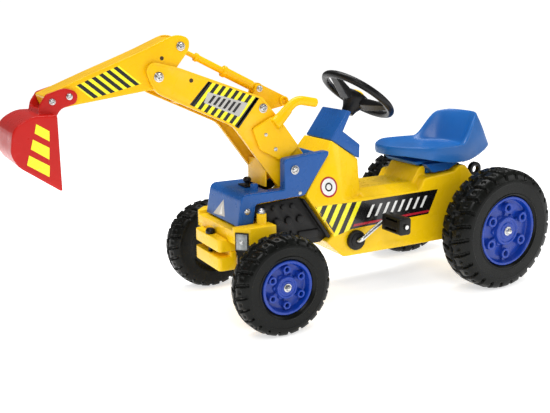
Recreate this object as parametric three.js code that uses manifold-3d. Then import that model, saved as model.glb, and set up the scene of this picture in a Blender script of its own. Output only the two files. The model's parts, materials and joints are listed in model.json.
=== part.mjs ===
// Pedal-driven ride-on digger. Millimetres, +Z up, -X is the front, -Y is the rider's left.
// The model is drawn with X = 0 at the front axle and Z = 0 on the floor, then the whole group
// is shifted along X so that the origin is the bottom centre of its bounding box.
import * as THREE from "three";
import { ConvexGeometry } from "three/addons/geometries/ConvexGeometry.js";
import { mergeVertices } from "three/addons/utils/BufferGeometryUtils.js";
import Module from "manifold-3d";

const wasm = await Module();
wasm.setup();

// ---- driving dimensions ----
const GAP = 0.4; // clearance left between touching pieces
const SIDES = [["left", -1], ["right", 1]];

const REAR = { radius: 150, width: 90, track: 180.6, rim: 86, x: 617, bore: 6.5 };
const FRONT = { radius: 110, width: 67.5, track: 183.6, rim: 59, x: 0, bore: 6.5 };
const AXLE_R = 6;
const KINGPIN_Y = 98;
const WALL = 4;

const BODY_HALF = 88; // half width of the lower body
const NOSE_HALF = 64; // half width of the nose between the engine panels
const HOOD_HALF = 82;
const CHEEK_INNER = 58;

const CRANK = { x: 255, z: 148, throwX: 70, throwZ: 44, pedalY: 153 };
const CHAIN_Y = 30;
const SPROCKET = { front: 27, rear: 18 };

const WHEEL = { x: 317, z: 479, tilt: THREE.MathUtils.degToRad(35.4), ring: 89, tube: 9 };
const TIE_ROD = { x: 62, z: 178 };

const BOOM_PIVOT = [93, 330];
const DIPPER_PIVOT = [-203, 541.5];
const ROD_FRONT = [-151, 601];
const LEVER_PIVOT = [34, 466];
const ROD_REAR = [42, 506];
const BOOM_HALF = 46;
const DIPPER_HALF = 38;
const BUCKET_HALF = 76;

// ---- materials ----
const material = (color, roughness = 0.4, metalness = 0) =>
  new THREE.MeshStandardMaterial({ color, roughness, metalness });
const YELLOW = material(0xf6b91a, 0.35);
const BLUE = material(0x1f4fae, 0.35);
const SEAT_BLUE = material(0x2f66b8, 0.4);
const RIM_BLUE = material(0x2344b8, 0.35);
const RED = material(0xc8201c, 0.35);
const BLACK = material(0x161616, 0.45);
const TYRE = material(0x1b1c1b, 0.5);
const STEEL = material(0xb4b6b8, 0.3, 1);

// ---- geometry helpers ----
const group = new THREE.Group();

function add(name, geometry, surface) {
  const mesh = new THREE.Mesh(geometry, surface);
  mesh.name = name;
  group.add(mesh);
  return mesh;
}

function toManifold(geometry) {
  const bare = geometry.clone();
  bare.deleteAttribute("normal");
  bare.deleteAttribute("uv");
  const merged = mergeVertices(bare, 1e-4);
  return new wasm.Manifold(
    new wasm.Mesh({
      numProp: 3,
      vertProperties: new Float32Array(merged.attributes.position.array),
      triVerts: new Uint32Array(merged.index.array),
    }),
  );
}

function fromManifold(solid) {
  const mesh = solid.getMesh();
  const geometry = new THREE.BufferGeometry();
  geometry.setAttribute("position", new THREE.BufferAttribute(new Float32Array(mesh.vertProperties), 3));
  geometry.setIndex(new THREE.BufferAttribute(new Uint32Array(mesh.triVerts), 1));
  return geometry;
}

// Joins the first list and cuts the second from it.
function solid(keep, remove = []) {
  let result = toManifold(keep[0]);
  for (const geometry of keep.slice(1)) result = result.add(toManifold(geometry));
  for (const geometry of remove) result = result.subtract(toManifold(geometry));
  return fromManifold(result);
}

const box = (x0, x1, y0, y1, z0, z1) =>
  new THREE.BoxGeometry(x1 - x0, y1 - y0, z1 - z0).translate((x0 + x1) / 2, (y0 + y1) / 2, (z0 + z1) / 2);

const hull = (...points) => new ConvexGeometry(points.map((p) => new THREE.Vector3(...p)));

// An XZ outline, given as points or as a Shape, extruded from y0 to y1.
function plate(outline, y0, y1) {
  const isShape = outline instanceof THREE.Shape;
  const shape = isShape ? outline : new THREE.Shape(outline.map(([x, z]) => new THREE.Vector2(x, z)));
  const options = { depth: y1 - y0, curveSegments: 3, bevelEnabled: false };
  return new THREE.ExtrudeGeometry(shape, options).rotateX(Math.PI / 2).translate(0, y1, 0);
}

// An outline whose corners are rounded; a point is [x, z] or [x, z, radius]. A corner takes at
// most half of each edge beside it.
function rounded(points) {
  const shape = new THREE.Shape();
  const corners = points.map(([x, z]) => new THREE.Vector2(x, z));
  corners.forEach((here, i) => {
    const before = corners.at(i - 1);
    const after = corners[(i + 1) % corners.length];
    const room = 0.49 * Math.min(here.distanceTo(before), here.distanceTo(after));
    const reach = Math.min(points[i][2] ?? 0, room);
    const entry = here.clone().add(before.clone().sub(here).setLength(reach));
    const exit = here.clone().add(after.clone().sub(here).setLength(reach));
    if (i === 0) shape.moveTo(entry.x, entry.y);
    else shape.lineTo(entry.x, entry.y);
    if (reach > 0) shape.quadraticCurveTo(here.x, here.y, exit.x, exit.y);
  });
  shape.closePath();
  return shape;
}

// A straight bar between two points.
function bar(from, to, radius, sides = 14, endRadius = radius) {
  const a = new THREE.Vector3(...from);
  const b = new THREE.Vector3(...to);
  const geometry = new THREE.CylinderGeometry(endRadius, radius, a.distanceTo(b), sides);
  const turn = new THREE.Quaternion().setFromUnitVectors(
    new THREE.Vector3(0, 1, 0), b.clone().sub(a).normalize());
  const middle = a.clone().add(b).multiplyScalar(0.5);
  return geometry.applyQuaternion(turn).translate(middle.x, middle.y, middle.z);
}

const ySpindle = (x, z, radius, y0, y1, sides = 12) => bar([x, y0, z], [x, y1, z], radius, sides);
const zSpindle = (x, y, radius, z0, z1, sides = 12) => bar([x, y, z0], [x, y, z1], radius, sides);
const pinHole = ([x, z], radius = 5.6) => ySpindle(x, z, radius, -130, 130, 10);

// Joins rings that have the same number of points into one closed skin.
function loft(rings) {
  const count = rings[0].length;
  const index = [];
  rings.slice(1).forEach((_, row) => {
    for (let i = 0; i < count; i++) {
      const [a, b] = [row * count + i, row * count + ((i + 1) % count)];
      index.push(a, a + count, b, b, a + count, b + count);
    }
  });
  const last = (rings.length - 1) * count;
  for (let i = 1; i < count - 1; i++) index.push(0, i, i + 1, last, last + i + 1, last + i);
  const geometry = new THREE.BufferGeometry();
  geometry.setAttribute("position", new THREE.BufferAttribute(new Float32Array(rings.flat(2)), 3));
  geometry.setIndex(index);
  return geometry;
}

// A round bar bent through the given points, each bend made of a few short steps.
function bentBar(points, radius, corner = 10, sides = 10) {
  const nodes = points.map((p) => new THREE.Vector3(...p));
  const line = [nodes[0]];
  for (let i = 1; i < nodes.length - 1; i++) {
    const before = nodes[i].clone().add(nodes[i - 1].clone().sub(nodes[i]).setLength(corner));
    const after = nodes[i].clone().add(nodes[i + 1].clone().sub(nodes[i]).setLength(corner));
    line.push(...new THREE.QuadraticBezierCurve3(before, nodes[i], after).getPoints(4));
  }
  line.push(nodes.at(-1));
  const first = line[1].clone().sub(line[0]).normalize();
  const across = Math.abs(first.y) < 0.9 ? new THREE.Vector3(0, 1, 0) : new THREE.Vector3(1, 0, 0);
  let u = across.clone().cross(first).normalize();
  let heading = first;
  return loft(line.map((centre, i) => {
    const tangent = (line[i + 1] ?? centre).clone().sub(line[i - 1] ?? centre).normalize();
    u = u.applyQuaternion(new THREE.Quaternion().setFromUnitVectors(heading, tangent));
    heading = tangent;
    const v = tangent.clone().cross(u);
    return Array.from({ length: sides }, (_, k) => {
      const angle = (-2 * Math.PI * k) / sides;
      return centre.clone().addScaledVector(u, radius * Math.cos(angle))
        .addScaledVector(v, radius * Math.sin(angle)).toArray();
    });
  }));
}

// A profile of [radius, height] points turned about the Y axis.
const turned = (profile, segments = 32) =>
  new THREE.LatheGeometry(profile.map(([r, h]) => new THREE.Vector2(r, h)), segments);

// A hexagon nut with a domed cap; its flat back is at the origin and it points along +Y.
function capNut(radius, height) {
  const dome = turned([[0, height], [radius * 0.55, height * 0.82], [radius * 0.78, height * 0.5],
    [radius * 0.78, 0.5], [0, 0.5], [0, height]].reverse(), 10);
  const hexagon = new THREE.CylinderGeometry(radius, radius, height * 0.5, 6);
  return solid([hexagon.translate(0, height * 0.25, 0), dome]);
}

// A flat domed screw or bolt head, back at the origin, pointing along +Y.
const boltHead = (radius, height) =>
  turned([[0, 0], [radius, 0], [radius * 0.85, height * 0.6], [0, height]], 10);

// Turns a piece that points along +Y so that it points to the given side.
const toSide = (geometry, side) => (side < 0 ? geometry.rotateZ(Math.PI) : geometry);

// ---- wheels ----
const RIM_DEPTH = 20;
const RIM_INSET = 4;

// Hard hollow tyre: its inner side wall carries the axle, its outer side holds a seat for the rim.
function tyreGeometry({ radius: R, width, rim, bore }) {
  const h = width / 2;
  const seat = h - RIM_INSET - RIM_DEPTH;
  const outside = [
    [bore, -h + 8], [R * 0.5, -h + 8], [R * 0.58, -h], [R * 0.84, -h], [R * 0.95, -h + 7], [R, -h + 20],
    [R, h - 20], [R * 0.95, h - 7], [R * 0.84, h], [rim + 1, h - 2], [rim + 1, seat], [rim - 8, seat]];
  const inside = [
    [rim - 8, seat - WALL], [rim + 5, seat - WALL], [rim + 5, h - 7], [R - 6, h - 22], [R - 6, -h + 22],
    [R * 0.83, -h + WALL], [R * 0.59, -h + WALL], [R * 0.52, -h + 8 + WALL], [bore, -h + 8 + WALL]];
  return turned([...outside, ...inside, outside[0]], 22);
}

// Rim disc: outer lip, dished floor, ring of bosses and a raised hub.
function rimGeometry({ width, rim, bore }) {
  const face = width / 2 - RIM_INSET;
  const back = face - RIM_DEPTH + GAP;
  const floor = face - 9;
  const profile = [[bore, back], [rim, back], [rim, face], [rim - 6, face], [rim - 9, floor],
    [rim * 0.42, floor], [rim * 0.38, face - 3], [bore, face - 3], [bore, back]];
  const bosses = [];
  for (let i = 0; i < 6; i++) {
    const angle = (i * Math.PI) / 3 + Math.PI / 6;
    const [x, z] = [rim * 0.66 * Math.cos(angle), rim * 0.66 * Math.sin(angle)];
    bosses.push(ySpindle(x, z, rim * 0.15, floor - 2, face - 4, 6));
  }
  return solid([turned(profile, 20), ...bosses]);
}

const AXLE_END = { rear: REAR.track + REAR.width / 2 - 3, front: FRONT.track + FRONT.width / 2 - 3 };

for (const [sideName, side] of SIDES) {
  for (const [end, wheel] of [["rear", REAR], ["front", FRONT]]) {
    const place = (geometry) =>
      toSide(geometry, side).translate(wheel.x, side * wheel.track, wheel.radius);
    add(`tyre_${end}_${sideName}`, place(tyreGeometry(wheel)), TYRE);
    add(`rim_${end}_${sideName}`, place(rimGeometry(wheel)), RIM_BLUE);
  }
  const cap = toSide(capNut(8, 8), side);
  const capY = side * (FRONT.track + FRONT.width / 2 - RIM_INSET - 3 + GAP);
  add(`hub_nut_front_${sideName}`, cap.translate(FRONT.x, capY, FRONT.radius), STEEL);
}
const rearHub = REAR.track + REAR.width / 2 - RIM_INSET - 3 + GAP;
add("rear_axle", ySpindle(REAR.x, REAR.radius, AXLE_R, -rearHub + 1, rearHub - 1, 18), STEEL);
for (const [sideName, side] of SIDES) {
  const nut = toSide(capNut(10, 10), side).translate(REAR.x, side * rearHub, REAR.radius);
  add(`hub_nut_rear_${sideName}`, nut, STEEL);
}

// ---- main body: hollow moulding with tower, footrest deck and rear seat hump ----
const bodyOutline = [
  [122, 266], [194, 166], [176, 153, 4], [225, 108, 6], [530, 108, 10], [640, 114, 14], [692, 150, 16],
  [692, 244, 8], [640, 244, 4], [616, 270, 6], [592, 298, 6], [572, 298, 6], [558, 284, 6], [462, 276, 6],
  [446, 246], [139, 246]];
const towerSolid = hull(
  ...[-1, 1].flatMap((s) => [
    [124, s * 84, 271], [139, s * 88, 243], [220, s * 88, 243], [287, s * 62, 243],
    [204, s * 60, 384], [224, s * 60, 371], [286, s * 50, 333]]));
const deckRidge = hull(...[-1, 1].flatMap((s) => [
  [280, s * 88, 243], [450, s * 88, 243], [280, s * 50, 262], [450, s * 50, 262],
  [280, s * 50, 200], [450, s * 50, 200]]));
const humpOutline = [[430, 240], [445, 262], [470, 300, 6], [486, 300], [486, 240]];
const nose = plate([[26, 196], [26, 246], [119, 262], [160, 262], [196, 168], [178, 154], [112, 192]],
  -NOSE_HALF, NOSE_HALF);

function makeBody() {
  const outer = [
    plate(rounded(bodyOutline), -BODY_HALF, BODY_HALF), towerSolid, deckRidge,
    plate(rounded(humpOutline), -58, 58), nose];
  const cavities = [
    plate([[190, 104], [212, 240], [440, 240], [470, 270], [556, 278], [600, 262], [680, 232], [686, 154],
      [640, 120], [600, 104]], -BODY_HALF + WALL, BODY_HALF - WALL),
    plate([[30, 200], [30, 242], [119, 257], [240, 257], [240, 150], [182, 157], [114, 196]],
      -NOSE_HALF + WALL, NOSE_HALF - WALL),
    hull(...[-1, 1].flatMap((s) => [
      [128, s * 78, 262], [140, s * 82, 236], [218, s * 83, 236], [282, s * 57, 236],
      [207, s * 54, 374], [222, s * 54, 365], [281, s * 45, 330]]))];
  const column = steeringBore(9);
  const axleHoles = [
    ySpindle(REAR.x, REAR.radius, 11, -100, 100, 14), ySpindle(CRANK.x, CRANK.z, 13, -100, 100, 14)];
  const steeringWell = box(46, 132, -42, 42, 180, 203);
  return solid(outer, [...cavities, column, steeringWell, ...axleHoles]);
}

// Direction of the steering axis, from the column's foot up to the rider.
const steerAxis = new THREE.Vector3(Math.sin(WHEEL.tilt), 0, Math.cos(WHEEL.tilt));
const onSteerAxis = (distance) => [WHEEL.x + steerAxis.x * distance, 0, WHEEL.z + steerAxis.z * distance];

function steeringBore(radius) {
  return bar(onSteerAxis(-330), onSteerAxis(-60), radius, 16);
}

add("body_shell", makeBody(), YELLOW);
const TRAY_HALF = BODY_HALF - WALL - GAP;
add("under_tray", box(232, 592, -TRAY_HALF, TRAY_HALF, 108.4, 111.4), BLACK);

// ---- front axle housing, bumper and towing pin ----
const planPrism = (points, z0, z1) =>
  new THREE.ExtrudeGeometry(new THREE.Shape(points.map(([x, y]) => new THREE.Vector2(x, y))),
    { depth: z1 - z0, bevelEnabled: false }).translate(0, 0, z0);
const HOUSING = { front: -66, rear: 24, half: 122, chamfer: 26 };
const housingCorner = (side) => [
  [HOUSING.front, side * (HOUSING.half - HOUSING.chamfer)],
  [HOUSING.front + HOUSING.chamfer, side * HOUSING.half],
  [HOUSING.rear, side * HOUSING.half]];
const housingEnd = (side) =>
  planPrism([...housingCorner(side), [HOUSING.rear, side * 87], [HOUSING.front, side * 87]], 200, 222);

const housingBosses = SIDES.map(([, side]) => zSpindle(FRONT.x, side * KINGPIN_Y, 11, 200, 246, 14));
const kingpinHoles = SIDES.map(([, side]) =>
  zSpindle(FRONT.x, side * KINGPIN_Y, AXLE_R + GAP, 160, 260, 12));
add("front_axle_housing", solid(
  [planPrism([...housingCorner(-1), ...housingCorner(1).reverse()], 184, 213),
    housingEnd(-1), housingEnd(1), ...housingBosses],
  [box(-50, 14, -84, 84, 180, 205), ...kingpinHoles]), YELLOW);

const CORNER_NORMAL = new THREE.Vector2(-1, 1).normalize();
const cornerPlate = (side) => {
  const slab = box(-1.5, 1.5, -15, 15, -20, 20);
  const screw = boltHead(4.5, 3).rotateZ(Math.PI / 2).translate(-1.4, 0, 0);
  const piece = solid([slab, screw]);
  const centre = [-66 + 13 + (-2 - GAP) * 0.7071, side * (122 - 13 + (2 + GAP) * 0.7071), 192];
  return piece.rotateZ(-side * Math.PI / 4).translate(...centre);
};
for (const [sideName, side] of SIDES) add(`corner_plate_${sideName}`, cornerPlate(side), STEEL);

const bumperPlan = (z0, z1, front) => {
  const shape = rounded([[front, -66, 10], [front + 44, -66, 3], [front + 44, 66, 3], [front, 66, 10]]);
  return new THREE.ExtrudeGeometry(shape, { depth: z1 - z0, curveSegments: 3, bevelEnabled: false })
    .translate(0, 0, z0);
};
const HITCH = { x: -78, y: 0, r: 5 };
const hitchHole = (z0, z1) => zSpindle(HITCH.x, HITCH.y, HITCH.r + 0.6, z0, z1, 14);
const bumperWeb = box(-60, -46, -66, 66, 146, 165);
add("bumper_upper", solid(
  [bumperPlan(160, 189, -88)],
  [hitchHole(150, 200), box(-67, -40, -130, 130, 183.6, 200)]), YELLOW);
add("bumper_lower", solid([bumperPlan(117, 148, -88), bumperWeb, box(-60, -46, -40, 40, 140, 159.6)],
  [hitchHole(126, 170), box(-100, 0, -100, 100, 159.6, 170)]), YELLOW);
add("hitch_pin", solid([
  zSpindle(HITCH.x, 0, HITCH.r, 127, 190, 14),
  turned([[0, 0], [11, 0], [11, 6], [8, 11], [0, 13]], 14).rotateX(Math.PI / 2)
    .translate(HITCH.x, 0, 189.4)]), BLACK);

// ---- steering: knuckles, tie rod, column, wheel ----
const FRONT_STUB_END = FRONT.track + FRONT.width / 2 - 8;
for (const [sideName, side] of SIDES) {
  const y = side * KINGPIN_Y;
  const knuckle = solid([
    zSpindle(0, y, AXLE_R, 104, 247, 12),
    ySpindle(0, FRONT.radius, AXLE_R, side * (KINGPIN_Y - 4), side * FRONT_STUB_END, 12),
    zSpindle(0, y, 10, 166, 183.6, 12), box(-9, 72, y - 7, y + 7, 167, 171.5),
    zSpindle(TIE_ROD.x, y, 4, 168, 186, 10)]);
  add(`knuckle_${sideName}`, knuckle, STEEL);
  add(`kingpin_nut_${sideName}`, capNut(9, 10).rotateX(Math.PI / 2).translate(0, y, 247.4), STEEL);
}
const tieEyes = SIDES.map(([, side]) => zSpindle(TIE_ROD.x, side * KINGPIN_Y, 12, 174, 181, 14));
const tieHoles = SIDES.map(([, side]) => zSpindle(TIE_ROD.x, side * KINGPIN_Y, 7.5, 170, 185, 10));
add("tie_rod", solid([
  box(TIE_ROD.x - 5, TIE_ROD.x + 5, -KINGPIN_Y, KINGPIN_Y, 175, 180), ...tieEyes,
  box(TIE_ROD.x - 14, TIE_ROD.x + 14, -12, 12, 175, 180)],
  [...tieHoles, box(TIE_ROD.x - 11, TIE_ROD.x + 11, -5, 5, 170, 190)]), STEEL);

const columnFoot = onSteerAxis(-340);
const armEnd = [TIE_ROD.x, 0, columnFoot[2] + 20];
const columnPath = [onSteerAxis(-38), columnFoot, armEnd, [TIE_ROD.x, 0, 168]];
add("steering_column", bentBar(columnPath, AXLE_R - 2), STEEL);

const wheelPart = (geometry) =>
  geometry.rotateX(Math.PI / 2).rotateY(WHEEL.tilt).translate(WHEEL.x, 0, WHEEL.z);
const spoke = (angle) => {
  const [c, s] = [Math.cos(angle), Math.sin(angle)];
  const at = (r, w, h) => [r * c - w * s, h, r * s + w * c];
  return hull(at(10, -20, -30), at(10, 20, -30), at(10, -20, -8), at(10, 20, -8),
    at(88, -13, -4), at(88, 13, -4), at(88, -11, 4), at(88, 11, 4));
};
const wheelRing = new THREE.TorusGeometry(WHEEL.ring, WHEEL.tube, 6, 22).rotateX(Math.PI / 2);
const wheelHub = turned([[0, -52], [15, -52], [18, -40], [34, -14], [34, 0], [0, 0]], 16);
add("steering_wheel", wheelPart(solid(
  [wheelRing, wheelHub, ...[0, 1, 2].map((i) => spoke(Math.PI + (i * 2 * Math.PI) / 3))],
  [turned([[0, -60], [4.4, -60], [4.4, -37], [0, -37]], 10),
    turned([[0, -12], [21.5, -12], [21.5, 10], [0, 10]], 16)])), BLACK);
const hornProfile = [[0, -5], [20, -5], [20, -1], [17, 4], [10, 8], [0, 9.5]];
add("horn_button", wheelPart(turned(hornProfile, 16)), YELLOW);

// ---- dashboard ----
add("dashboard", solid(
  [plate([[204.5, 384.6], [252, 450], [262, 446], [240, 402], [288, 368], [287.5, 334.4]], -55, 55)],
  [steeringBore(9)]), BLUE);

// ---- hood with the two boom cheeks ----
const ROOF = 287;
const cheek = rounded([[68, 276], [68, 356, 8], [183, 365, 5], [183, 357, 3], [123, 273], [84, 270]]);
const hoodOutline = rounded([[-50, 217], [-38, ROOF, 16], [62, ROOF], [133, ROOF], [119, 269], [-5, 263],
  [-11, 221]]);
const rearWall = plate([[124, ROOF - 1], [133, ROOF - 1], [181, 356], [171, 358]], -CHEEK_INNER - 1,
  CHEEK_INNER + 1);
const lockBoss = zSpindle(14, -38, 9, ROOF - 3, ROOF + 13, 14);
add("hood", solid(
  [plate(hoodOutline, -HOOD_HALF, HOOD_HALF), plate(cheek, -HOOD_HALF, -CHEEK_INNER),
    plate(cheek, CHEEK_INNER, HOOD_HALF), rearWall, lockBoss],
  [plate([[-60, 200], [-44, 222], [-34, ROOF - WALL], [128, ROOF - WALL], [124, 262], [20, 255], [0, 200]],
    -HOOD_HALF + WALL, HOOD_HALF - WALL),
    box(34, 170, -CHEEK_INNER + 4, CHEEK_INNER - 4, 270, 310), pinHole(BOOM_PIVOT)]), BLUE);
add("lock_knob", solid([
  zSpindle(12, -8, 9, ROOF + 3, ROOF + 23, 14), box(2, 24, -20, 20, ROOF + GAP, ROOF + 5)]), BLACK);

// ---- engine panels ----
for (const [sideName, side] of SIDES) {
  const y0 = side * (NOSE_HALF + 0.5);
  const y1 = side * (NOSE_HALF + 6);
  const panel = plate([[-5, 257], [112, 263], [189, 165], [170, 150], [104, 150], [92, 188], [30, 188],
    [30, 228], [-5, 228]],
    Math.min(y0, y1), Math.max(y0, y1));
  const knobs = [];
  for (let i = 0; i < 4; i++) knobs.push(ySpindle(20 + i * 24, 246, 6, side * 68, side * 75, 10));
  for (let i = 0; i < 3; i++) knobs.push(ySpindle(52 + i * 30, 214, 9, side * 68, side * 76, 12));
  knobs.push(box(108, 160, side > 0 ? 68 : -75, side > 0 ? 75 : -68, 166, 184));
  const flange = [side * 68, side * (BODY_HALF - 4)].sort((a, b) => a - b);
  knobs.push(plate([[112, 260], [118, 261], [189, 165], [183, 161]], ...flange));
  add(`engine_panel_${sideName}`, solid([panel, ...knobs]), BLACK);
}

// ---- seat ----
// A saddle whose outline is a rounded box in plan, with a rim that climbs round the back.
const SEAT = { front: 391, middle: 523, rear: 660, half: 102, nose: 66, rim: 352, top: 424, pan: 342,
  panX: 505, wall: 6, sides: 32 };
const ease = (value, low, high) => THREE.MathUtils.smoothstep(value, low, high);

// A point on the seat's outline at an angle, with the height of the rim there.
function seatRim(angle) {
  const [c, s] = [Math.cos(angle), Math.sin(angle)];
  const power = c < 0 ? 2.7 : 2.35;
  const reach = (Math.abs(c) ** power + Math.abs(s) ** power) ** (-1 / power);
  const length = c < 0 ? SEAT.middle - SEAT.front : SEAT.rear - SEAT.middle;
  const x = SEAT.middle + reach * c * length;
  const half = THREE.MathUtils.lerp(SEAT.nose, SEAT.half, ease(x, 388, 480));
  const z = SEAT.rim + (SEAT.top - SEAT.rim) * ease(x, 575, 648);
  return [x, reach * s * half, z];
}

// The top face at a share of the way from the middle of the pan to the rim.
const seatFace = (share, drop) => ([x, y, z]) =>
  [SEAT.panX + (x - SEAT.panX) * share, y * share, SEAT.pan + (z - SEAT.pan) * ease(share, 0.72, 1) - drop];

// The skirt at a share of the way down from the rim, moved in by an inset.
const seatSkirt = (share, inset) => ([x, y, z]) => {
  const flare = 50 * ease(x, 560, 660) * share;
  const foot = 328 - 22 * ease(x, 390, 570) + 28 * ease(x, 580, 655);
  const shrink = 1 - inset / Math.hypot(x - SEAT.middle, y);
  return [SEAT.middle + (x + flare - SEAT.middle) * shrink, y * shrink,
    THREE.MathUtils.lerp(z, foot, share)];
};
const seatRing = (shape) => Array.from({ length: SEAT.sides }, (_, i) =>
  shape(seatRim((2 * Math.PI * i) / SEAT.sides)));
add("seat", loft([
  ...[0.02, 0.4, 0.7, 0.8, 0.88, 0.95, 0.985].map((share) => seatFace(share, 0)),
  ...[0.04, 0.2, 0.5, 0.8, 1].map((share) => seatSkirt(share, 0)),
  seatSkirt(1, SEAT.wall), seatSkirt(0.5, SEAT.wall), seatSkirt(0.25, SEAT.wall + 1),
  ...[0.9, 0.8, 0.7, 0.4, 0.02].map((share) => seatFace(share, SEAT.wall + 2))].map(seatRing)), SEAT_BLUE);
const mirrored = (...points) => points.flatMap(([x, y, z]) => [[x, -y, z], [x, y, z]]);
add("seat_base", solid([
  hull(...mirrored([490, 60, 279.2], [487, 60, 301], [553, 60, 284.6], [566, 60, 299], [496, 60, 304])),
  hull(...mirrored([462, 60, 301], [448, 60, 312], [600, 60, 312], [592, 60, 299], [496, 60, 301])),
  box(480, 560, -48, 48, 310, SEAT.pan - SEAT.wall - 2 - GAP)]), SEAT_BLUE);
add("tow_ring", solid(
  [ySpindle(707, 261, 20, -6, 6, 16), box(650, 700, -12, 12, 244.5, 252)],
  [ySpindle(707, 261, 10, -8, 8, 14)]), BLACK);

// ---- crank, pedals, sprockets and chain ----
const CRANK_R = 5;
const pedalAxis = (side) => [CRANK.x - side * CRANK.throwX, CRANK.z - side * CRANK.throwZ];
const crankPath = [-1, 1].map((side) => {
  const [x, z] = pedalAxis(side);
  return [[x, side * (CRANK.pedalY + 40), z], [x, side * 108, z], [CRANK.x, side * 108, CRANK.z]];
});
add("crank", bentBar([...crankPath[0], ...crankPath[1].reverse()], CRANK_R), STEEL);

// A bush pushed into the body's side wall: sleeve inside the wall, flange on it and collar outside.
function bush(side, { x, z, bore, sleeve, flange, flangeOut, collar, collarOut }) {
  const wall = side * BODY_HALF;
  return solid(
    [ySpindle(x, z, sleeve, wall - side * 8, wall + side * 2, 14),
      ySpindle(x, z, flange, wall + side * GAP, wall + side * flangeOut, 18),
      ySpindle(x, z, collar, wall + side * 2, side * collarOut, 14)],
    [ySpindle(x, z, bore, wall - side * 30, side * (collarOut + 10), 12)]);
}
const CRANK_BUSH = { x: CRANK.x, z: CRANK.z, bore: CRANK_R + 0.6, sleeve: 12.4, flange: 24, flangeOut: 10,
  collar: 17, collarOut: BODY_HALF + 13 };
const AXLE_BUSH = { x: REAR.x, z: REAR.radius, bore: AXLE_R + 0.5, sleeve: 10.4, flange: 18, flangeOut: 5,
  collar: 11, collarOut: REAR.track - REAR.width / 2 + 7.4 };
for (const [sideName, side] of SIDES) {
  add(`crank_bush_${sideName}`, bush(side, CRANK_BUSH), BLACK);
  add(`axle_bush_${sideName}`, bush(side, AXLE_BUSH), BLACK);
}
for (const [sideName, side] of SIDES) {
  const [x, z] = pedalAxis(side);
  const block = rounded([[-16, -20, 6], [16, -20, 6], [16, 20, 6], [-16, 20, 6]]);
  const pedal = solid(
    [plate(block, -34, 34).translate(x, side * CRANK.pedalY, z)],
    [ySpindle(x, z, CRANK_R + 0.6, side * 90, side * 200, 16),
      box(x - 20, x + 20, side * CRANK.pedalY - 22, side * CRANK.pedalY + 22, z + 9, z + 14),
      box(x - 20, x + 20, side * CRANK.pedalY - 22, side * CRANK.pedalY + 22, z - 14, z - 9)]);
  add(`pedal_${sideName}`, pedal, BLACK);
}

function sprocket(x, z, radius, teeth, bore) {
  const shape = new THREE.Shape();
  for (let i = 0; i < teeth * 2; i++) {
    const angle = (i * Math.PI) / teeth;
    const r = radius - (i % 2 ? 5 : 0);
    if (i === 0) shape.moveTo(r, 0);
    else shape.lineTo(r * Math.cos(angle), r * Math.sin(angle));
  }
  return solid(
    [plate(shape, CHAIN_Y - 1.5, CHAIN_Y + 1.5).translate(x, 0, z),
      ySpindle(x, z, 13, CHAIN_Y - 8, CHAIN_Y + 8, 12)],
    [ySpindle(x, z, bore, CHAIN_Y - 20, CHAIN_Y + 20, 12)]);
}
add("crank_sprocket", sprocket(CRANK.x, CRANK.z, SPROCKET.front, 15, CRANK_R + 0.4), STEEL);
add("rear_sprocket", sprocket(REAR.x, REAR.radius, SPROCKET.rear, 10, AXLE_R + 0.4), STEEL);

// The outline of a belt run over both sprockets at a distance outside their teeth.
function beltOutline(outside) {
  const [a, b] = [new THREE.Vector2(CRANK.x, CRANK.z), new THREE.Vector2(REAR.x, REAR.radius)];
  const [ra, rb] = [SPROCKET.front + outside, SPROCKET.rear + outside];
  const line = b.clone().sub(a);
  const spread = Math.acos((ra - rb) / line.length());
  const heading = line.angle();
  const arc = (centre, radius, from, to) => Array.from({ length: 13 }, (_, i) => {
    const angle = heading + from + ((to - from) * i) / 12;
    return new THREE.Vector2(centre.x + radius * Math.cos(angle), centre.y + radius * Math.sin(angle));
  });
  return [...arc(a, ra, spread, 2 * Math.PI - spread), ...arc(b, rb, -spread, spread)];
}
const chainShape = new THREE.Shape(beltOutline(6));
chainShape.holes.push(new THREE.Path(beltOutline(0.8)));
add("chain", plate(chainShape, CHAIN_Y - 4, CHAIN_Y + 4), STEEL);

// ---- digger arm ----
const lobe = ([x, z], radius, y0, y1, sides) => ySpindle(x, z, radius, y0, y1, sides);
const sideways = (outline, inner, outer) => [plate(outline, -outer, -inner), plate(outline, inner, outer)];
const tubeBetween = (point, radius, half) => ySpindle(...point, radius, -half, half, 12);

function boltAcross([x, z], radius, half, head, height) {
  return solid([ySpindle(x, z, radius, -half, half, 10),
    ...SIDES.map(([, side]) => toSide(boltHead(head, height), side).translate(x, side * half, z))]);
}

const boomSide = rounded([
  [-231, 556, 20], [-216, 572, 20], [-160, 559], [32, 490, 8], [66, 450], [139, 354, 10], [120, 298, 24],
  [74, 284, 12], [42, 325], [-38, 431, 14], [-214, 511, 22]]);
const boomPlates = sideways(boomSide, BOOM_HALF - 5, BOOM_HALF);
const span = BOOM_HALF - 4;
const boomWebs = [
  plate([[-112, 535], [-112, 541], [0, 501], [0, 495]], -span, span),
  plate([[100, 402], [105, 400], [136, 360], [118, 302], [113, 303], [130, 359]], -span, span),
  plate([[-34, 436], [-30, 434], [8, 470], [4, 472]], -span, span),
  plate([[40, 290], [44, 290], [44, 344], [40, 348]], -span, span),
  plate([[-150, 484], [-146, 482], [-120, 506], [-124, 508]], -span, span),
  tubeBetween(BOOM_PIVOT, 16, span)];
add("boom", solid([...boomPlates, ...boomWebs],
  [pinHole(BOOM_PIVOT), pinHole(DIPPER_PIVOT), pinHole(LEVER_PIVOT),
    ySpindle(36, 409, 3, -60, -30, 10), ySpindle(60, 375, 3, -60, -30, 10)]), YELLOW);
add("boom_pivot_bolt", boltAcross(BOOM_PIVOT, 5, HOOD_HALF + GAP, 10, 7), STEEL);
add("dipper_pivot_bolt", boltAcross(DIPPER_PIVOT, 5, BOOM_HALF + GAP, 10, 6), STEEL);
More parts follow.
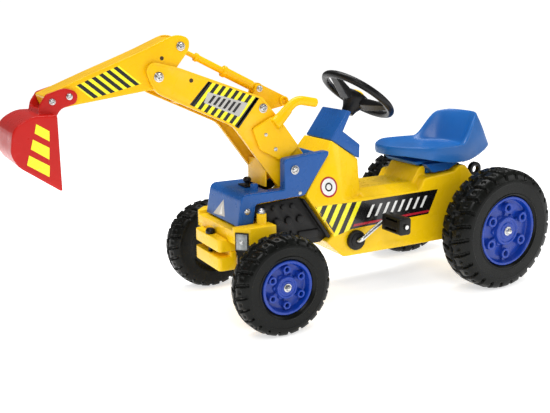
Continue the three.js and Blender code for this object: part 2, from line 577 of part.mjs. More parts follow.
add("lever_pivot_bolt", boltAcross(LEVER_PIVOT, 5, BOOM_HALF + GAP, 10, 6), STEEL);

const handlePlate = rounded([
  [4, 424, 8], [58, 450, 14], [82, 428, 6], [120, 378, 6], [84, 344, 6], [22, 376, 8]]);
const handleY = [-BOOM_HALF - GAP - 7, -BOOM_HALF - GAP];
add("boom_handle", solid([
  plate(handlePlate, ...handleY), bentBar([[58, -55, 436], [111, -58, 482], [164, -58, 472]], 10.5, 12)],
  [box(0, 200, -BOOM_HALF - GAP, 0, 300, 500),
    ...[[36, 409], [60, 375]].map(([x, z]) => ySpindle(x, z, 3, -60, -30, 10))]), YELLOW);
const GRIP = [103, 476];
const leverPlate = hullOutline([[LEVER_PIVOT, 14], [ROD_REAR, 10], [GRIP, 11]]);
const PIN_R = 4;
add("dipper_lever", solid(
  [...sideways(leverPlate, 9, 15), tubeBetween(LEVER_PIVOT, 14, BOOM_HALF - 5.6),
    tubeBetween(GRIP, 11, 20)],
  [pinHole(LEVER_PIVOT), pinHole(GRIP, 7), pinHole(ROD_REAR, PIN_R + 0.4)]), YELLOW);

// The outline wrapped around three discs, counter-clockwise.
function hullOutline(discs) {
  const points = discs.flatMap(([[x, z], radius]) => Array.from({ length: 12 }, (_, i) => {
    const angle = (i * Math.PI) / 6;
    return new THREE.Vector2(x + radius * Math.cos(angle), z + radius * Math.sin(angle));
  }));
  points.sort((p, q) => p.x - q.x || p.y - q.y);
  const chain = (list) => {
    const kept = [];
    for (const p of list) {
      const turnsRight = () => {
        const [a, b] = kept.slice(-2);
        return (b.x - a.x) * (p.y - a.y) - (b.y - a.y) * (p.x - a.x) <= 1e-9;
      };
      while (kept.length > 1 && turnsRight()) kept.pop();
      kept.push(p);
    }
    return kept.slice(0, -1);
  };
  return new THREE.Shape([...chain(points), ...chain([...points].reverse())]);
}

const along = (t) => [THREE.MathUtils.lerp(ROD_FRONT[0], ROD_REAR[0], t), 0,
  THREE.MathUtils.lerp(ROD_FRONT[1], ROD_REAR[1], t)];
add("link_rod", solid(
  [lobe(ROD_FRONT, 9, -6, 6, 12), lobe(ROD_REAR, 12.5, -7, 7, 16), bar(along(0.02), along(0.26), 5, 8),
    bar(along(0.24), along(0.27), 9.5, 12), bar(along(0.25), along(0.6), 7.5, 10),
    bar(along(0.57), along(0.6), 13, 12), bar(along(0.58), along(0.95), 11, 12)],
  [pinHole(ROD_FRONT, PIN_R + 0.5), pinHole(ROD_REAR, PIN_R + 3.4), box(20, 60, -30, -7.6, 480, 530),
    box(20, 60, 7.6, 30, 480, 530)]), YELLOW);
add("link_pin_rear", boltAcross(ROD_REAR, PIN_R, 15 + GAP, 7, 4), STEEL);
add("link_pin_front", boltAcross(ROD_FRONT, PIN_R, DIPPER_HALF + GAP, 9, 6), STEEL);

const dipperSide = rounded([
  [-431, 514, 3], [-338, 552], [-236, 592, 20], [-158, 626, 16], [-130, 617, 14],
  [-131, 594, 12], [-160, 558], [-178, 530, 14], [-203, 514, 10], [-222, 515], [-367, 494], [-421, 485, 4]]);
const dipperSpan = DIPPER_HALF - 5;
const BUCKET_BOLTS = [[-417, 503], [-384, 511]];
add("dipper", solid([
  ...sideways(dipperSide, DIPPER_HALF - 6, DIPPER_HALF),
  plate([[-430, 508], [-430, 513], [-338, 551], [-236, 591], [-172, 618], [-170, 613], [-235, 585],
    [-337, 545]], -dipperSpan, dipperSpan),
  plate([[-430, 512], [-425, 512], [-416, 487], [-421, 486]], -dipperSpan, dipperSpan),
  plate([[-300, 506], [-295, 506], [-290, 566], [-295, 565]], -dipperSpan, dipperSpan),
  tubeBetween(DIPPER_PIVOT, 16, dipperSpan + 1)],
  [pinHole(DIPPER_PIVOT), pinHole(ROD_FRONT, PIN_R + 0.4),
    ...BUCKET_BOLTS.map((p) => pinHole(p, 3.5))]), YELLOW);

const bucketOutside = rounded([
  [-416, 336], [-416, 480], [-462, 481, 14], [-498, 462, 24], [-506, 412, 20], [-492, 388, 8]]);
const bucketInside = rounded([
  [-400, 343], [-419, 343], [-490, 393, 8], [-501, 414, 18], [-494, 460, 22], [-461, 477, 12],
  [-400, 477]]);
const ear = rounded([
  [-432, 510, 6], [-428, 517, 6], [-390, 529, 14], [-367, 518, 14], [-370, 498, 12], [-402, 488, 8],
  [-410, 476], [-446, 476], [-440, 500, 8]]);
const scoop = solid(
  [plate(bucketOutside, -BUCKET_HALF, BUCKET_HALF)],
  [plate(bucketInside, -BUCKET_HALF + WALL, BUCKET_HALF - WALL)]);
add("bucket", solid(
  [scoop,
    ...sideways(ear, DIPPER_HALF + GAP, DIPPER_HALF + 7),
    plate([[-440, 479], [-446, 479], [-437, 500], [-434, 506], [-431, 505], [-434, 499]], -40, 40)],
  [...BUCKET_BOLTS.map((p) => pinHole(p, 3.5))]), RED);
BUCKET_BOLTS.forEach((place, i) => {
  add(`bucket_bolt_${i + 1}`, boltAcross(place, 3, DIPPER_HALF + 7 + GAP, 6, 4), STEEL);
});

const extent = new THREE.Box3().setFromObject(group, true);
group.position.x = -(extent.min.x + extent.max.x) / 2;

export default group;
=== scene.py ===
"""Looks for the pedal-driven ride-on digger: moulded plastic, hollow tyres, plated steel and stickers.

Lengths in the builders below are millimetres measured from the front axle, as in the CAD; place()
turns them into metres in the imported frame.
"""
import json
import math

import bmesh
import bpy
from mathutils import Matrix, Vector
from mathutils.bvhtree import BVHTree
from mathutils.geometry import convex_hull_2d


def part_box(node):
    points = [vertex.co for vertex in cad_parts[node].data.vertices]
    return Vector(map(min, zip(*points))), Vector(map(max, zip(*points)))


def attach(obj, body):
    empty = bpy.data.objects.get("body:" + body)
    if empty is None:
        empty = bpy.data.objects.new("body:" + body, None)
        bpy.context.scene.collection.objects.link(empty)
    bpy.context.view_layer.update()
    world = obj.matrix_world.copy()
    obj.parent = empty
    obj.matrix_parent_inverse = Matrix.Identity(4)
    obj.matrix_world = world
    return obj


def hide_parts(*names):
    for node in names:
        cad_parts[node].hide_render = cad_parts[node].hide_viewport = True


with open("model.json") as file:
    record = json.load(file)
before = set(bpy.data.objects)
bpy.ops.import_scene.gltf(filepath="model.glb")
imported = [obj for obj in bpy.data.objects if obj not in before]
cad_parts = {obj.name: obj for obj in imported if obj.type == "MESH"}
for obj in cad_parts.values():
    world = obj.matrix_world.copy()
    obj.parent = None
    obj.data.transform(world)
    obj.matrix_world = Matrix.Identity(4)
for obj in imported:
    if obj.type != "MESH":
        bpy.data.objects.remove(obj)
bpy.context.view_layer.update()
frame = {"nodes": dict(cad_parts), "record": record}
NODES = frame["nodes"]
RECORD = frame["record"]
BODY_OF = {node: body for body, names in RECORD["behaviour"]["bodies"].items() for node in names}
SLOT_OF = {part["node"]: part["material_slot"] for part in RECORD["subparts"]}
SIDES = (("left", -1), ("right", 1))
FRONT_AXLE_X = (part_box("tyre_front_left")[0].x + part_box("tyre_front_left")[1].x) / 2
TO_FRAME = Matrix.Translation((FRONT_AXLE_X, 0, 0)) @ Matrix.Scale(0.001, 4)

# Fixed points (x, z) and the axes the round parts turn about
BOOM_PIVOT, DIPPER_PIVOT, LEVER_PIVOT = (93, 330), (-203, 541.5), (34, 466)
ROD_FRONT, ROD_REAR, GRIP = (-151, 601), (42, 506), (103, 476)
CRANK_AXIS, REAR_AXLE, WHEEL_CENTRE = (255, 148), (617, 150), (317, 479)
CHAIN_Y, CHAIN_PITCH = 30, 12.7
CRANK_RADIUS, REAR_RADIUS, CHAIN_RISE = 27, 18, 3.4
ACROSS, UP = (0, 1, 0), (0, 0, 1)


def place(x, y, z):
    """A point in millimetres from the front axle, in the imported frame."""
    return TO_FRAME @ Vector((x, y, z))


def middle(node):
    """The middle of a CAD node's box, in millimetres from the front axle."""
    low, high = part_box(node)
    return TO_FRAME.inverted() @ ((low + high) / 2)


def half_width(node):
    """Half a CAD node's breadth in millimetres."""
    low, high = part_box(node)
    return (high.y - low.y) * 500


def on_plane(spot):
    """A point (x, z) on the middle plane."""
    return Vector((spot[0], 0, spot[1]))


def turns(count):
    """Equal angles round a full turn."""
    return [2 * math.pi * i / count for i in range(count)]


# ---------------------------------------------------------------- materials
GRIT, DRY_DUST, DULL_SPOT = (0.33, 0.27, 0.2), (0.1, 0.085, 0.065), (0.3, 0.26, 0.21)
TYRE_BLACK, RUBBED_TYRE = (0.0042, 0.0046, 0.004), (0.026, 0.027, 0.025)


def feed(tree, socket, value):
    """Sets a socket to a constant, or links another socket to it."""
    if isinstance(value, bpy.types.NodeSocket):
        tree.links.new(value, socket)
    else:
        socket.default_value = value


def new_node(tree, kind, **inputs):
    """A node with its sockets fed by name, an underscore standing for a space."""
    node = tree.nodes.new(kind)
    for name, value in inputs.items():
        feed(tree, node.inputs[name.replace("_", " ")], value)
    return node


class Shader:
    """A Principled material with the few helpers the finishes below share."""

    def __init__(self, name):
        self.material = bpy.data.materials.new(name)
        self.material.use_nodes = True
        self.tree = self.material.node_tree
        self.tree.nodes.clear()
        self.bsdf = self.node("ShaderNodeBsdfPrincipled")
        self.node("ShaderNodeOutputMaterial", Surface=self.bsdf.outputs["BSDF"])
        self.coords = self.node("ShaderNodeTexCoord").outputs["Object"]

    def node(self, kind, **inputs):
        return new_node(self.tree, kind, **inputs)

    def noise(self, scale, detail=3.0, rough=0.55, stretch=None, distortion=0.0):
        """Noise in the object's own space; stretch squeezes it along the axes."""
        source = self.coords
        if stretch:
            source = self.node("ShaderNodeMapping", Vector=self.coords, Scale=stretch,
                               Rotation=(0.3, 0.5, 0.7)).outputs["Vector"]
        return self.node("ShaderNodeTexNoise", Vector=source, Scale=scale, Detail=detail, Roughness=rough,
                         Distortion=distortion).outputs["Fac"]

    def span(self, value, low, high, to_low, to_high):
        """Maps low..high to to_low..to_high, clamped."""
        return self.node("ShaderNodeMapRange", Value=value, From_Min=low, From_Max=high, To_Min=to_low,
                         To_Max=to_high).outputs["Result"]

    def patches(self, scale, low=0.3, high=0.7, top=1, detail=3.0):
        """Noise cut into soft patches, from 0 to top."""
        return self.span(self.noise(scale, detail), low, high, 0, top)

    def math(self, operation, a, b):
        node = self.node("ShaderNodeMath")
        node.operation = operation
        feed(self.tree, node.inputs[0], a)
        feed(self.tree, node.inputs[1], b)
        return node.outputs["Value"]

    def times(self, a, b):
        return self.math("MULTIPLY", a, b)

    def plus(self, a, b):
        return self.math("ADD", a, b)

    def mix(self, factor, a, b):
        """Colour a where factor is 0 and b where it is 1."""
        node = self.node("ShaderNodeMix")
        node.data_type = "RGBA"
        feed(self.tree, node.inputs["Factor"], factor)
        for socket, value in ((node.inputs[6], a), (node.inputs[7], b)):
            feed(self.tree, socket, (*value, 1) if isinstance(value, tuple) else value)
        return node.outputs[2]

    def bump(self, height, strength, distance, below=None):
        node = self.node("ShaderNodeBump", Strength=strength, Distance=distance, Height=height)
        if below:
            feed(self.tree, node.inputs["Normal"], below)
        return node.outputs["Normal"]

    def set(self, **values):
        for name, value in values.items():
            socket = self.bsdf.inputs[name.replace("_", " ").title().replace("Ior", "IOR")]
            feed(self.tree, socket, value)
        return self.material


def shade(rgb, amount):
    return tuple(min(1.0, channel * amount) for channel in rgb)


def lighten(rgb, amount):
    return tuple(channel + (1 - channel) * amount for channel in rgb)


def plastic(name, rgb, gloss=0.26, grain=0.35, dust=0.09, edge=0.2, sheen=0.5):
    """Moulded plastic: mottling, fine grain, gentle waviness, rubbed edges, scuffs and dust low down."""
    s = Shader(name)
    colour = s.mix(s.patches(7.0), shade(rgb, 0.9), shade(rgb, 1.07))
    pointed = s.node("ShaderNodeNewGeometry").outputs["Pointiness"]
    rubbed = s.times(s.span(pointed, 0.54, 0.66, 0, edge), s.patches(38.0, 0.4, 0.62))
    colour = s.mix(rubbed, colour, lighten(rgb, 0.2))
    scratch = s.noise(26.0, 6.0, 0.62, (1.0, 14.0, 1.6), 0.7)
    scuff = s.times(s.span(scratch, 0.64, 0.7, 0, 1), s.patches(9.0, 0.46, 0.62, 0.5))
    colour = s.mix(s.times(scuff, 0.2), colour, lighten(rgb, 0.25))
    height = s.node("ShaderNodeSeparateXYZ", Vector=s.coords)
    low_down = s.span(height.outputs["Z"], 0.0, 0.3, dust, 0.0)
    dusty = s.times(low_down, s.patches(16.0, 0.42, 0.72, 1, 5.0))
    colour = s.mix(dusty, colour, GRIT)
    rough = s.span(s.noise(30.0, 4.0), 0.3, 0.7, gloss - 0.05, gloss + 0.09)
    rough = s.plus(rough, s.times(s.plus(scuff, dusty), 0.35))
    wavy = s.bump(s.noise(16.0, 2.0), 0.16, 0.0016)
    fine = s.bump(s.noise(1100.0, 2.0), grain * 0.4, 0.00012, wavy)
    marked = s.bump(scuff, 0.05, 0.0001, fine)
    s.bsdf.inputs["Specular IOR Level"].default_value = sheen
    return s.set(base_color=colour, roughness=rough, normal=marked, coat_weight=0.1 * sheen,
                 coat_roughness=0.12, ior=1.45)


def tyre_plastic(name):
    """Blown black plastic: satin gloss, fine grain, dry dust in the grooves and greyer rubbed lugs."""
    s = Shader(name)
    colour = s.mix(s.patches(11.0, detail=4.0), TYRE_BLACK, shade(TYRE_BLACK, 1.7))
    pointed = s.node("ShaderNodeNewGeometry").outputs["Pointiness"]
    worn = s.times(s.span(pointed, 0.53, 0.62, 0, 0.4), s.patches(55.0, 0.4, 0.65, 1, 4.0))
    colour = s.mix(worn, colour, RUBBED_TYRE)
    hollow = s.span(pointed, 0.48, 0.42, 0, 0.2)
    dusty = s.times(hollow, s.patches(24.0, 0.4, 0.7, 1, 5.0))
    colour = s.mix(dusty, colour, DRY_DUST)
    rough = s.plus(s.span(s.noise(42.0, 5.0), 0.3, 0.7, 0.2, 0.36), s.times(dusty, 0.4))
    wavy = s.bump(s.noise(30.0, 2.0), 0.2, 0.001)
    fine = s.bump(s.noise(900.0, 3.0), 0.25, 0.00015, wavy)
    s.bsdf.inputs["Specular IOR Level"].default_value = 0.14
    return s.set(base_color=colour, roughness=rough, normal=fine, ior=1.5)


def plated_steel(name, rgb=(0.62, 0.62, 0.61), gloss=0.24):
    """Bright zinc plate: drawn lines, cloudy patches and a few dull spots."""
    s = Shader(name)
    colour = s.mix(s.patches(34.0, detail=5.0), shade(rgb, 0.78), shade(rgb, 1.12))
    spots = s.patches(160.0, 0.66, 0.74, 0.55, 4.0)
    colour = s.mix(spots, colour, DULL_SPOT)
    lines = s.noise(120.0, 5.0, 0.6, (1.0, 1.0, 16.0))
    rough = s.plus(s.span(lines, 0.3, 0.7, gloss - 0.08, gloss + 0.12), s.times(spots, 0.4))
    fine = s.bump(lines, 0.12, 0.0001)
    return s.set(base_color=colour, roughness=rough, normal=fine, metallic=1.0)


def sticker(name, rgb, gloss=0.2):
    """Printed vinyl: slight orange peel, rubbed patches and an uneven sheen."""
    s = Shader(name)
    rub = s.span(s.noise(60.0, 6.0, 0.7, (1.0, 1.0, 5.0)), 0.62, 0.76, 0, 0.3)
    colour = s.mix(s.patches(20.0), shade(rgb, 0.9), shade(rgb, 1.08))
    colour = s.mix(rub, colour, lighten(rgb, 0.4))
    rough = s.plus(s.span(s.noise(50.0), 0.3, 0.7, gloss, gloss + 0.12), s.times(rub, 0.3))
    peel = s.bump(s.noise(420.0, 2.0), 0.12, 0.0002)
    return s.set(base_color=colour, roughness=rough, normal=peel, coat_weight=0.12, coat_roughness=0.08)


def clear_lamp(name):
    """Grey ribbed reflector."""
    s = Shader(name)
    ribs = s.node("ShaderNodeTexWave", Scale=170.0, Vector=s.coords)
    colour = s.mix(s.patches(70.0, detail=4.0), (0.16, 0.17, 0.17), (0.34, 0.36, 0.36))
    rough = s.span(s.noise(40.0), 0.3, 0.7, 0.14, 0.3)
    ribbed = s.bump(ribs.outputs["Fac"], 0.4, 0.0005)
    return s.set(base_color=colour, roughness=rough, normal=ribbed, metallic=0.55)


YELLOW = (0.94, 0.59, 0.003)
# The arm is the same yellow plastic as the body; this darker, more orange copy of it is painted shade
ARM_YELLOW_SHADED = (0.87, 0.495, 0.0015)
M = {
    "yellow_plastic": plastic("yellow_moulding", YELLOW, sheen=0.3),
    "arm_plastic": plastic("arm_yellow_painted_shade", ARM_YELLOW_SHADED, sheen=0.25),
    "blue_plastic": plastic("royal_blue_moulding", (0.006, 0.085, 0.33), 0.27, sheen=0.4),
    "seat_plastic": plastic("mid_blue_moulding", (0.01, 0.12, 0.4), 0.33, 0.8, 0.0, sheen=0.4),
    "rim_plastic": plastic("deep_blue_moulding", (0.003, 0.04, 0.33), 0.24, sheen=0.4),
    "red_plastic": plastic("red_moulding", (0.5, 0.007, 0.004), 0.3, sheen=0.35),
    "black_plastic": plastic("black_moulding", (0.006, 0.006, 0.0065), 0.34, 0.9, 0.06, 0.1, 0.25),
    "tyre_plastic": tyre_plastic("blown_black_tyre"),
    "steel": plated_steel("zinc_plated_steel"),
    "dark_steel": plated_steel("oiled_chain_steel", (0.2, 0.2, 0.2), 0.35),
    "black_print": sticker("black_print", (0.005, 0.0045, 0.005)),
    "yellow_print": sticker("yellow_print", (0.9, 0.83, 0.01)),
    "silver_print": sticker("silver_print", (0.47, 0.46, 0.43), 0.3),
    "white_print": sticker("white_print", (0.82, 0.82, 0.8)),
    "red_print": sticker("red_print", (0.42, 0.015, 0.03)),
    "lamp": clear_lamp("grey_reflector"),
    # Dark brown painted shade: the insides of the plates' holes and the shadow beside the handle plate
    "painted_shade": plastic("painted_shade_moulding", (0.05, 0.025, 0.003), 0.6),
}


# ---------------------------------------------------------------- mesh builders (millimetres)
def grid_faces(bm, rows, closed_rows=False, closed_columns=True):
    """Joins rows of vertices into quads."""
    count = len(rows[0])
    pairs = list(zip(rows, rows[1:])) + ([(rows[-1], rows[0])] if closed_rows else [])
    for a, b in pairs:
        for i in range(count if closed_columns else count - 1):
            j = (i + 1) % count
            bm.faces.new((a[i], b[i], b[j], a[j]))


def frame_of(axis):
    """Two unit vectors square to an axis."""
    axis = Vector(axis).normalized()
    across = Vector((0, 0, 1)) if abs(axis.z) < 0.9 else Vector((1, 0, 0))
    u = axis.cross(across).normalized()
    return axis, u, axis.cross(u)


def lathe(bm, profile, centre, axis=ACROSS, segments=64, cap=True):
    """Turns a profile of (radius, distance along the axis) about an axis through the centre."""
    axis, u, v = frame_of(axis)
    centre = Vector(centre)
    rows = []
    for radius, along in profile:
        rows.append([bm.verts.new(centre + axis * along + (u * math.cos(a) + v * math.sin(a)) * radius)
                     for a in turns(segments)])
    grid_faces(bm, rows)
    if cap:
        for row in (rows[0], rows[-1]):
            if (row[0].co - row[1].co).length > 1e-5:
                bm.faces.new(row)


def bend(start, corner, end, steps):
    """Points of a quadratic curve from start to end, drawn towards the corner."""
    return [start * (1 - t) ** 2 + corner * 2 * t * (1 - t) + end * t ** 2
            for t in (k / steps for k in range(steps + 1))]


def corner_points(before, here, after, radius, share, steps):
    """How far a rounded corner reaches, its sharp point and its curve."""
    here = Vector(here[:2])
    before, after = Vector(before[:2]) - here, Vector(after[:2]) - here
    reach = min(radius, share * before.length, share * after.length)
    start, end = here + before.normalized() * reach, here + after.normalized() * reach
    return reach, tuple(here), [tuple(point) for point in bend(start, here, end, steps)]


def eased(points, radius=1.0, steps=4):
    """A polyline with rounded corners; a point may carry its own radius."""
    out = [tuple(Vector(points[0][:2]))]
    for before, here, after in zip(points, points[1:], points[2:]):
        own = here[2] if len(here) > 2 else radius
        out += corner_points(before, here, after, own, 0.45, steps)[2]
    return out + [tuple(Vector(points[-1][:2]))]


def outline(points, steps=8):
    """A closed outline; a point is (x, z) or (x, z, corner radius)."""
    out = []
    for before, here, after in zip(points[-1:] + points[:-1], points, points[1:] + points[:1]):
        own = here[2] if len(here) > 2 else 0
        reach, spot, curve = corner_points(before, here, after, own, 0.49, steps)
        out += curve if reach >= 0.1 else [spot]
    return out


def round_edges(bm, edges, bevel):
    bmesh.ops.bevel(bm, geom=edges, offset=bevel, segments=3, profile=0.5, affect="EDGES",
                    clamp_overlap=True)


def prism(bm, points, y0, y1, bevel=1.5):
    """An XZ outline extruded from y0 to y1, with its rims rounded."""
    low = [bm.verts.new((x, y0, z)) for x, z in points]
    high = [bm.verts.new((x, y1, z)) for x, z in points]
    caps = [bm.faces.new(low), bm.faces.new(list(reversed(high)))]
    for i in range(len(points)):
        j = (i + 1) % len(points)
        bm.faces.new((low[j], low[i], high[i], high[j]))
    if bevel:
        round_edges(bm, list({edge for face in caps for edge in face.edges}), bevel)


def plate(bm, shape, side, inner, outer, bevel=0):
    """An XZ outline on one side of the middle plane, between two distances from it."""
    prism(bm, shape, *sorted((side * inner, side * outer)), bevel)


def eye(bm, spot, bore, radius, half, ease=1.0):
    """A bored boss across the middle plane, its axis at (x, z)."""
    boss = eased([(bore, -half), (radius, -half), (radius, half), (bore, half)], ease)
    for profile in (boss, [(bore, -half), (bore, half)]):
        lathe(bm, profile, on_plane(spot), ACROSS, 40, cap=False)


def block(bm, low, high, bevel=1.5, turn=None):
    """A box with rounded edges, turned by a matrix about its own middle."""
    centre = (Vector(low) + Vector(high)) / 2
    size = Vector(high) - Vector(low)
    made = bmesh.ops.create_cube(bm, size=1.0, matrix=Matrix.Translation(centre)
                                 @ (turn or Matrix.Identity(4)) @ Matrix.Diagonal((*size, 1)))
    round_edges(bm, list({edge for vert in made["verts"] for edge in vert.link_edges}), bevel)


def tube(bm, points, radius, sides=20, corner=10):
    """A round bar bent smoothly through the points."""
    points = [Vector(p) for p in points]
    line = [points[0]]
    for before, here, after in zip(points, points[1:], points[2:]):
        start = here + (before - here).normalized() * corner
        end = here + (after - here).normalized() * corner
        line += bend(start, here, end, 8)
    line.append(points[-1])
    rows, u = [], None
    for i, point in enumerate(line):
        tangent = (line[min(i + 1, len(line) - 1)] - line[max(i - 1, 0)]).normalized()
        u = (u - tangent * u.dot(tangent)).normalized() if u else frame_of(tangent)[1]
        v = tangent.cross(u)
        rows.append([bm.verts.new(point + (u * math.cos(a) + v * math.sin(a)) * radius)
                     for a in turns(sides)])
    grid_faces(bm, rows)
    bm.faces.new(rows[0])
    bm.faces.new(rows[-1])


def piece(name, bm, material, nodes=(), body=None, sharp=32):
    """Turns a mesh in millimetres into a piece that rides on the body of the nodes it stands for."""
    moved(bm, TO_FRAME)
    return finished(name, bm, material, nodes, body, sharp)


def riding(name, bm, material, body):
    """A smooth-shaded object made from a mesh, riding on a body."""
    for face in bm.faces:
        face.smooth = True
    mesh = bpy.data.meshes.new(name)
    bm.to_mesh(mesh)
    bm.free()
    mesh.materials.append(M[material])
    obj = bpy.data.objects.new(name, mesh)
    bpy.context.scene.collection.objects.link(obj)
    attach(obj, body)
    return obj


def finished(name, bm, material, nodes=(), body=None, sharp=32):
    """An object with its sharp edges marked, standing for CAD nodes where it names any."""
    bmesh.ops.recalc_face_normals(bm, faces=bm.faces)
    for edge in bm.edges:
        edge.smooth = len(edge.link_faces) == 2 and edge.calc_face_angle() < math.radians(sharp)
    obj = riding(name, bm, material, body or BODY_OF[nodes[0]])
    if nodes:
        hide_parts(*nodes)
    return obj


def moved(bm, matrix):
    bmesh.ops.transform(bm, matrix=matrix, verts=bm.verts)


def made(name, material, nodes, *solids, body=None):
    """A piece built from solids, each given as a builder and what it needs."""
    bm = bmesh.new()
    for build, *details in solids:
        build(bm, *details)
    return piece(name, bm, material, nodes, body)


def softened(node, bevel):
    """A copy of a CAD node with its flats merged and its edges rounded."""
    bm = bmesh.new()
    bm.from_mesh(NODES[node].data)
    bmesh.ops.remove_doubles(bm, verts=bm.verts, dist=3e-5)
    bmesh.ops.dissolve_limit(bm, angle_limit=math.radians(0.8), verts=bm.verts, edges=bm.edges)
    edges = [e for e in bm.edges if len(e.link_faces) == 2 and e.calc_face_angle() > math.radians(24)
             and e.calc_length() > 0.0012]
    bmesh.ops.bevel(bm, geom=edges, offset=bevel / 1000, segments=3, profile=0.5, affect="EDGES",
                    clamp_overlap=False, loop_slide=True)
    return finished(f"{node}_moulding", bm, SLOT_OF[node], [node])


def blended(obj, voxel, passes=4):
    """Melts a piece's parts into one moulded skin."""
    remesh = obj.modifiers.new("skin", "REMESH")
    remesh.mode = "VOXEL"
    remesh.voxel_size = voxel / 1000
    remesh.use_smooth_shade = True
    smooth = obj.modifiers.new("ease", "SMOOTH")
    smooth.factor = 0.5
    smooth.iterations = passes
    evaluated = obj.evaluated_get(bpy.context.evaluated_depsgraph_get())
    mesh = bpy.data.meshes.new_from_object(evaluated)
    mesh.materials.clear()
    mesh.materials.append(obj.data.materials[0])
    obj.modifiers.clear()
    obj.data = mesh
    for polygon in mesh.polygons:
        polygon.use_smooth = True
    return obj


def bolt_head(bm, centre, axis, radius, height):
    """A washer under a domed head with a hexagon socket."""
    washer = [(0, 0), (radius * 1.25, 0), (radius * 1.25, 1.2), (radius * 0.95, 1.5)]
    lathe(bm, eased(washer, 0.4), centre, axis, 40)
    dome = [(0.45, height * 0.45), (radius * 0.42, height * 0.45), (radius * 0.48, height),
            (radius * 0.7, height * 0.97), (radius * 0.93, height * 0.66), (radius, 1.4), (0, 1.2)]
    lathe(bm, eased(dome, 0.5), centre, axis, 40)


def dome_nut(bm, centre, axis, radius, height):
    """A hexagon cap nut on a washer."""
    lathe(bm, eased([(0, 0), (radius * 1.3, 0), (radius * 1.3, 1.2), (0, 1.4)], 0.4), centre, axis, 40)
    lathe(bm, [(radius, 1.2), (radius, height * 0.5), (radius * 0.9, height * 0.56),
               (radius * 0.8, height * 0.56)], centre, axis, 6)
    cap = [(radius * 0.8, height * 0.5), (radius * 0.8, height * 0.62), (radius * 0.6, height * 0.86),
           (radius * 0.3, height * 0.97), (0.01, height)]
    lathe(bm, eased(cap, 2), centre, axis, 40)


# ---------------------------------------------------------------- wheels
def step(value, low, high):
    t = max(0.0, min(1.0, (value - low) / (high - low)))
    return t * t * (3 - 2 * t)


LUG_STEPS = 18


def tyre(node, side, lugs, groove):
    """Blown tyre: ribbed side walls, square shoulder blocks and a zigzag centre groove."""
    low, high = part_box(node)
    half, radius = half_width(node), (high.z - low.z) * 500
    centre = middle(node)
    rim = radius * (0.575 if radius > 130 else 0.537)
    profile = eased([
        (9, -half + 8), (radius * 0.5, -half + 8, 6), (radius * 0.58, -half + 1, 6),
        (radius * 0.84, -half, 12), (radius * 0.95, -half + 6, 10), (radius - 0.3, -half + 20, 12),
        (radius, 0, 30), (radius - 0.3, half - 20, 12), (radius * 0.95, half - 6, 10),
        (radius * 0.84, half, 12), (rim + 9, half - 1, 4), (rim + 4, half - 4, 4), (rim + 1, half - 7, 3),
        (rim + 0.6, half - 24, 1), (rim - 8, half - 24)], 4, 6)
    fine = []
    for (r0, y0), (r1, y1) in zip(profile, profile[1:]):
        cuts = max(1, round(math.hypot(r1 - r0, y1 - y0) / 2.6)) if r0 > radius * 0.82 else 1
        fine += [(r0 + (r1 - r0) * k / cuts, y0 + (y1 - y0) * k / cuts) for k in range(cuts)]
    fine.append(profile[-1])
    bm = bmesh.new()
    rows = []
    for r, y in fine:
        row = []
        for i, angle in enumerate(turns(lugs * LUG_STEPS)):
            sink = 0.0
            if r > radius * 0.86:
                reach = step(r, radius * 0.86, radius * 0.9)
                shift = 0.5 if y > 0 else 0.0
                across = abs(y) / half
                turn = (i / LUG_STEPS + shift + 0.42 * across) % 1.0
                block_edge = abs(turn - 0.5) * 2
                cut = step(block_edge, 0.7, 0.82)
                zigzag = 4.5 * (abs(((2 * i / LUG_STEPS) % 2.0) - 1.0) - 0.5)
                middle_cut = 1 - step(abs(y - zigzag), 2.2, 4.4)
                notch = 1 - step(abs(block_edge - 0.1), 0.05, 0.2)
                notch *= step(across, 0.45, 0.5) * (1 - step(across, 0.62, 0.68))
                sink = groove * max(cut * step(across, 0.12, 0.2), middle_cut, 0.55 * notch) * reach
            scale = (r - sink) / max(r, 1e-6)
            inward = 0.35 * sink * (1 if abs(y) > half * 0.8 else 0)
            row.append(bm.verts.new(Vector((
                centre.x + r * scale * math.cos(angle), centre.y + side * (y - math.copysign(inward, y)),
                centre.z + r * scale * math.sin(angle)))))
        rows.append(row)
    grid_faces(bm, rows)
    wall = (centre.x, centre.y + side * (half - 0.8), centre.z)
    for share, lift in ((0.62, 1.1), (0.8, 0.8)):
        ring = radius * share
        rib = [(ring - 2.2, 0), (ring - 1, lift), (ring + 1, lift), (ring + 2.2, 0)]
        lathe(bm, eased(rib, 0.6), wall, (0, side, 0), 128, cap=False)
    return piece(f"{node}_tread", bm, "tyre_plastic", [node], sharp=48)


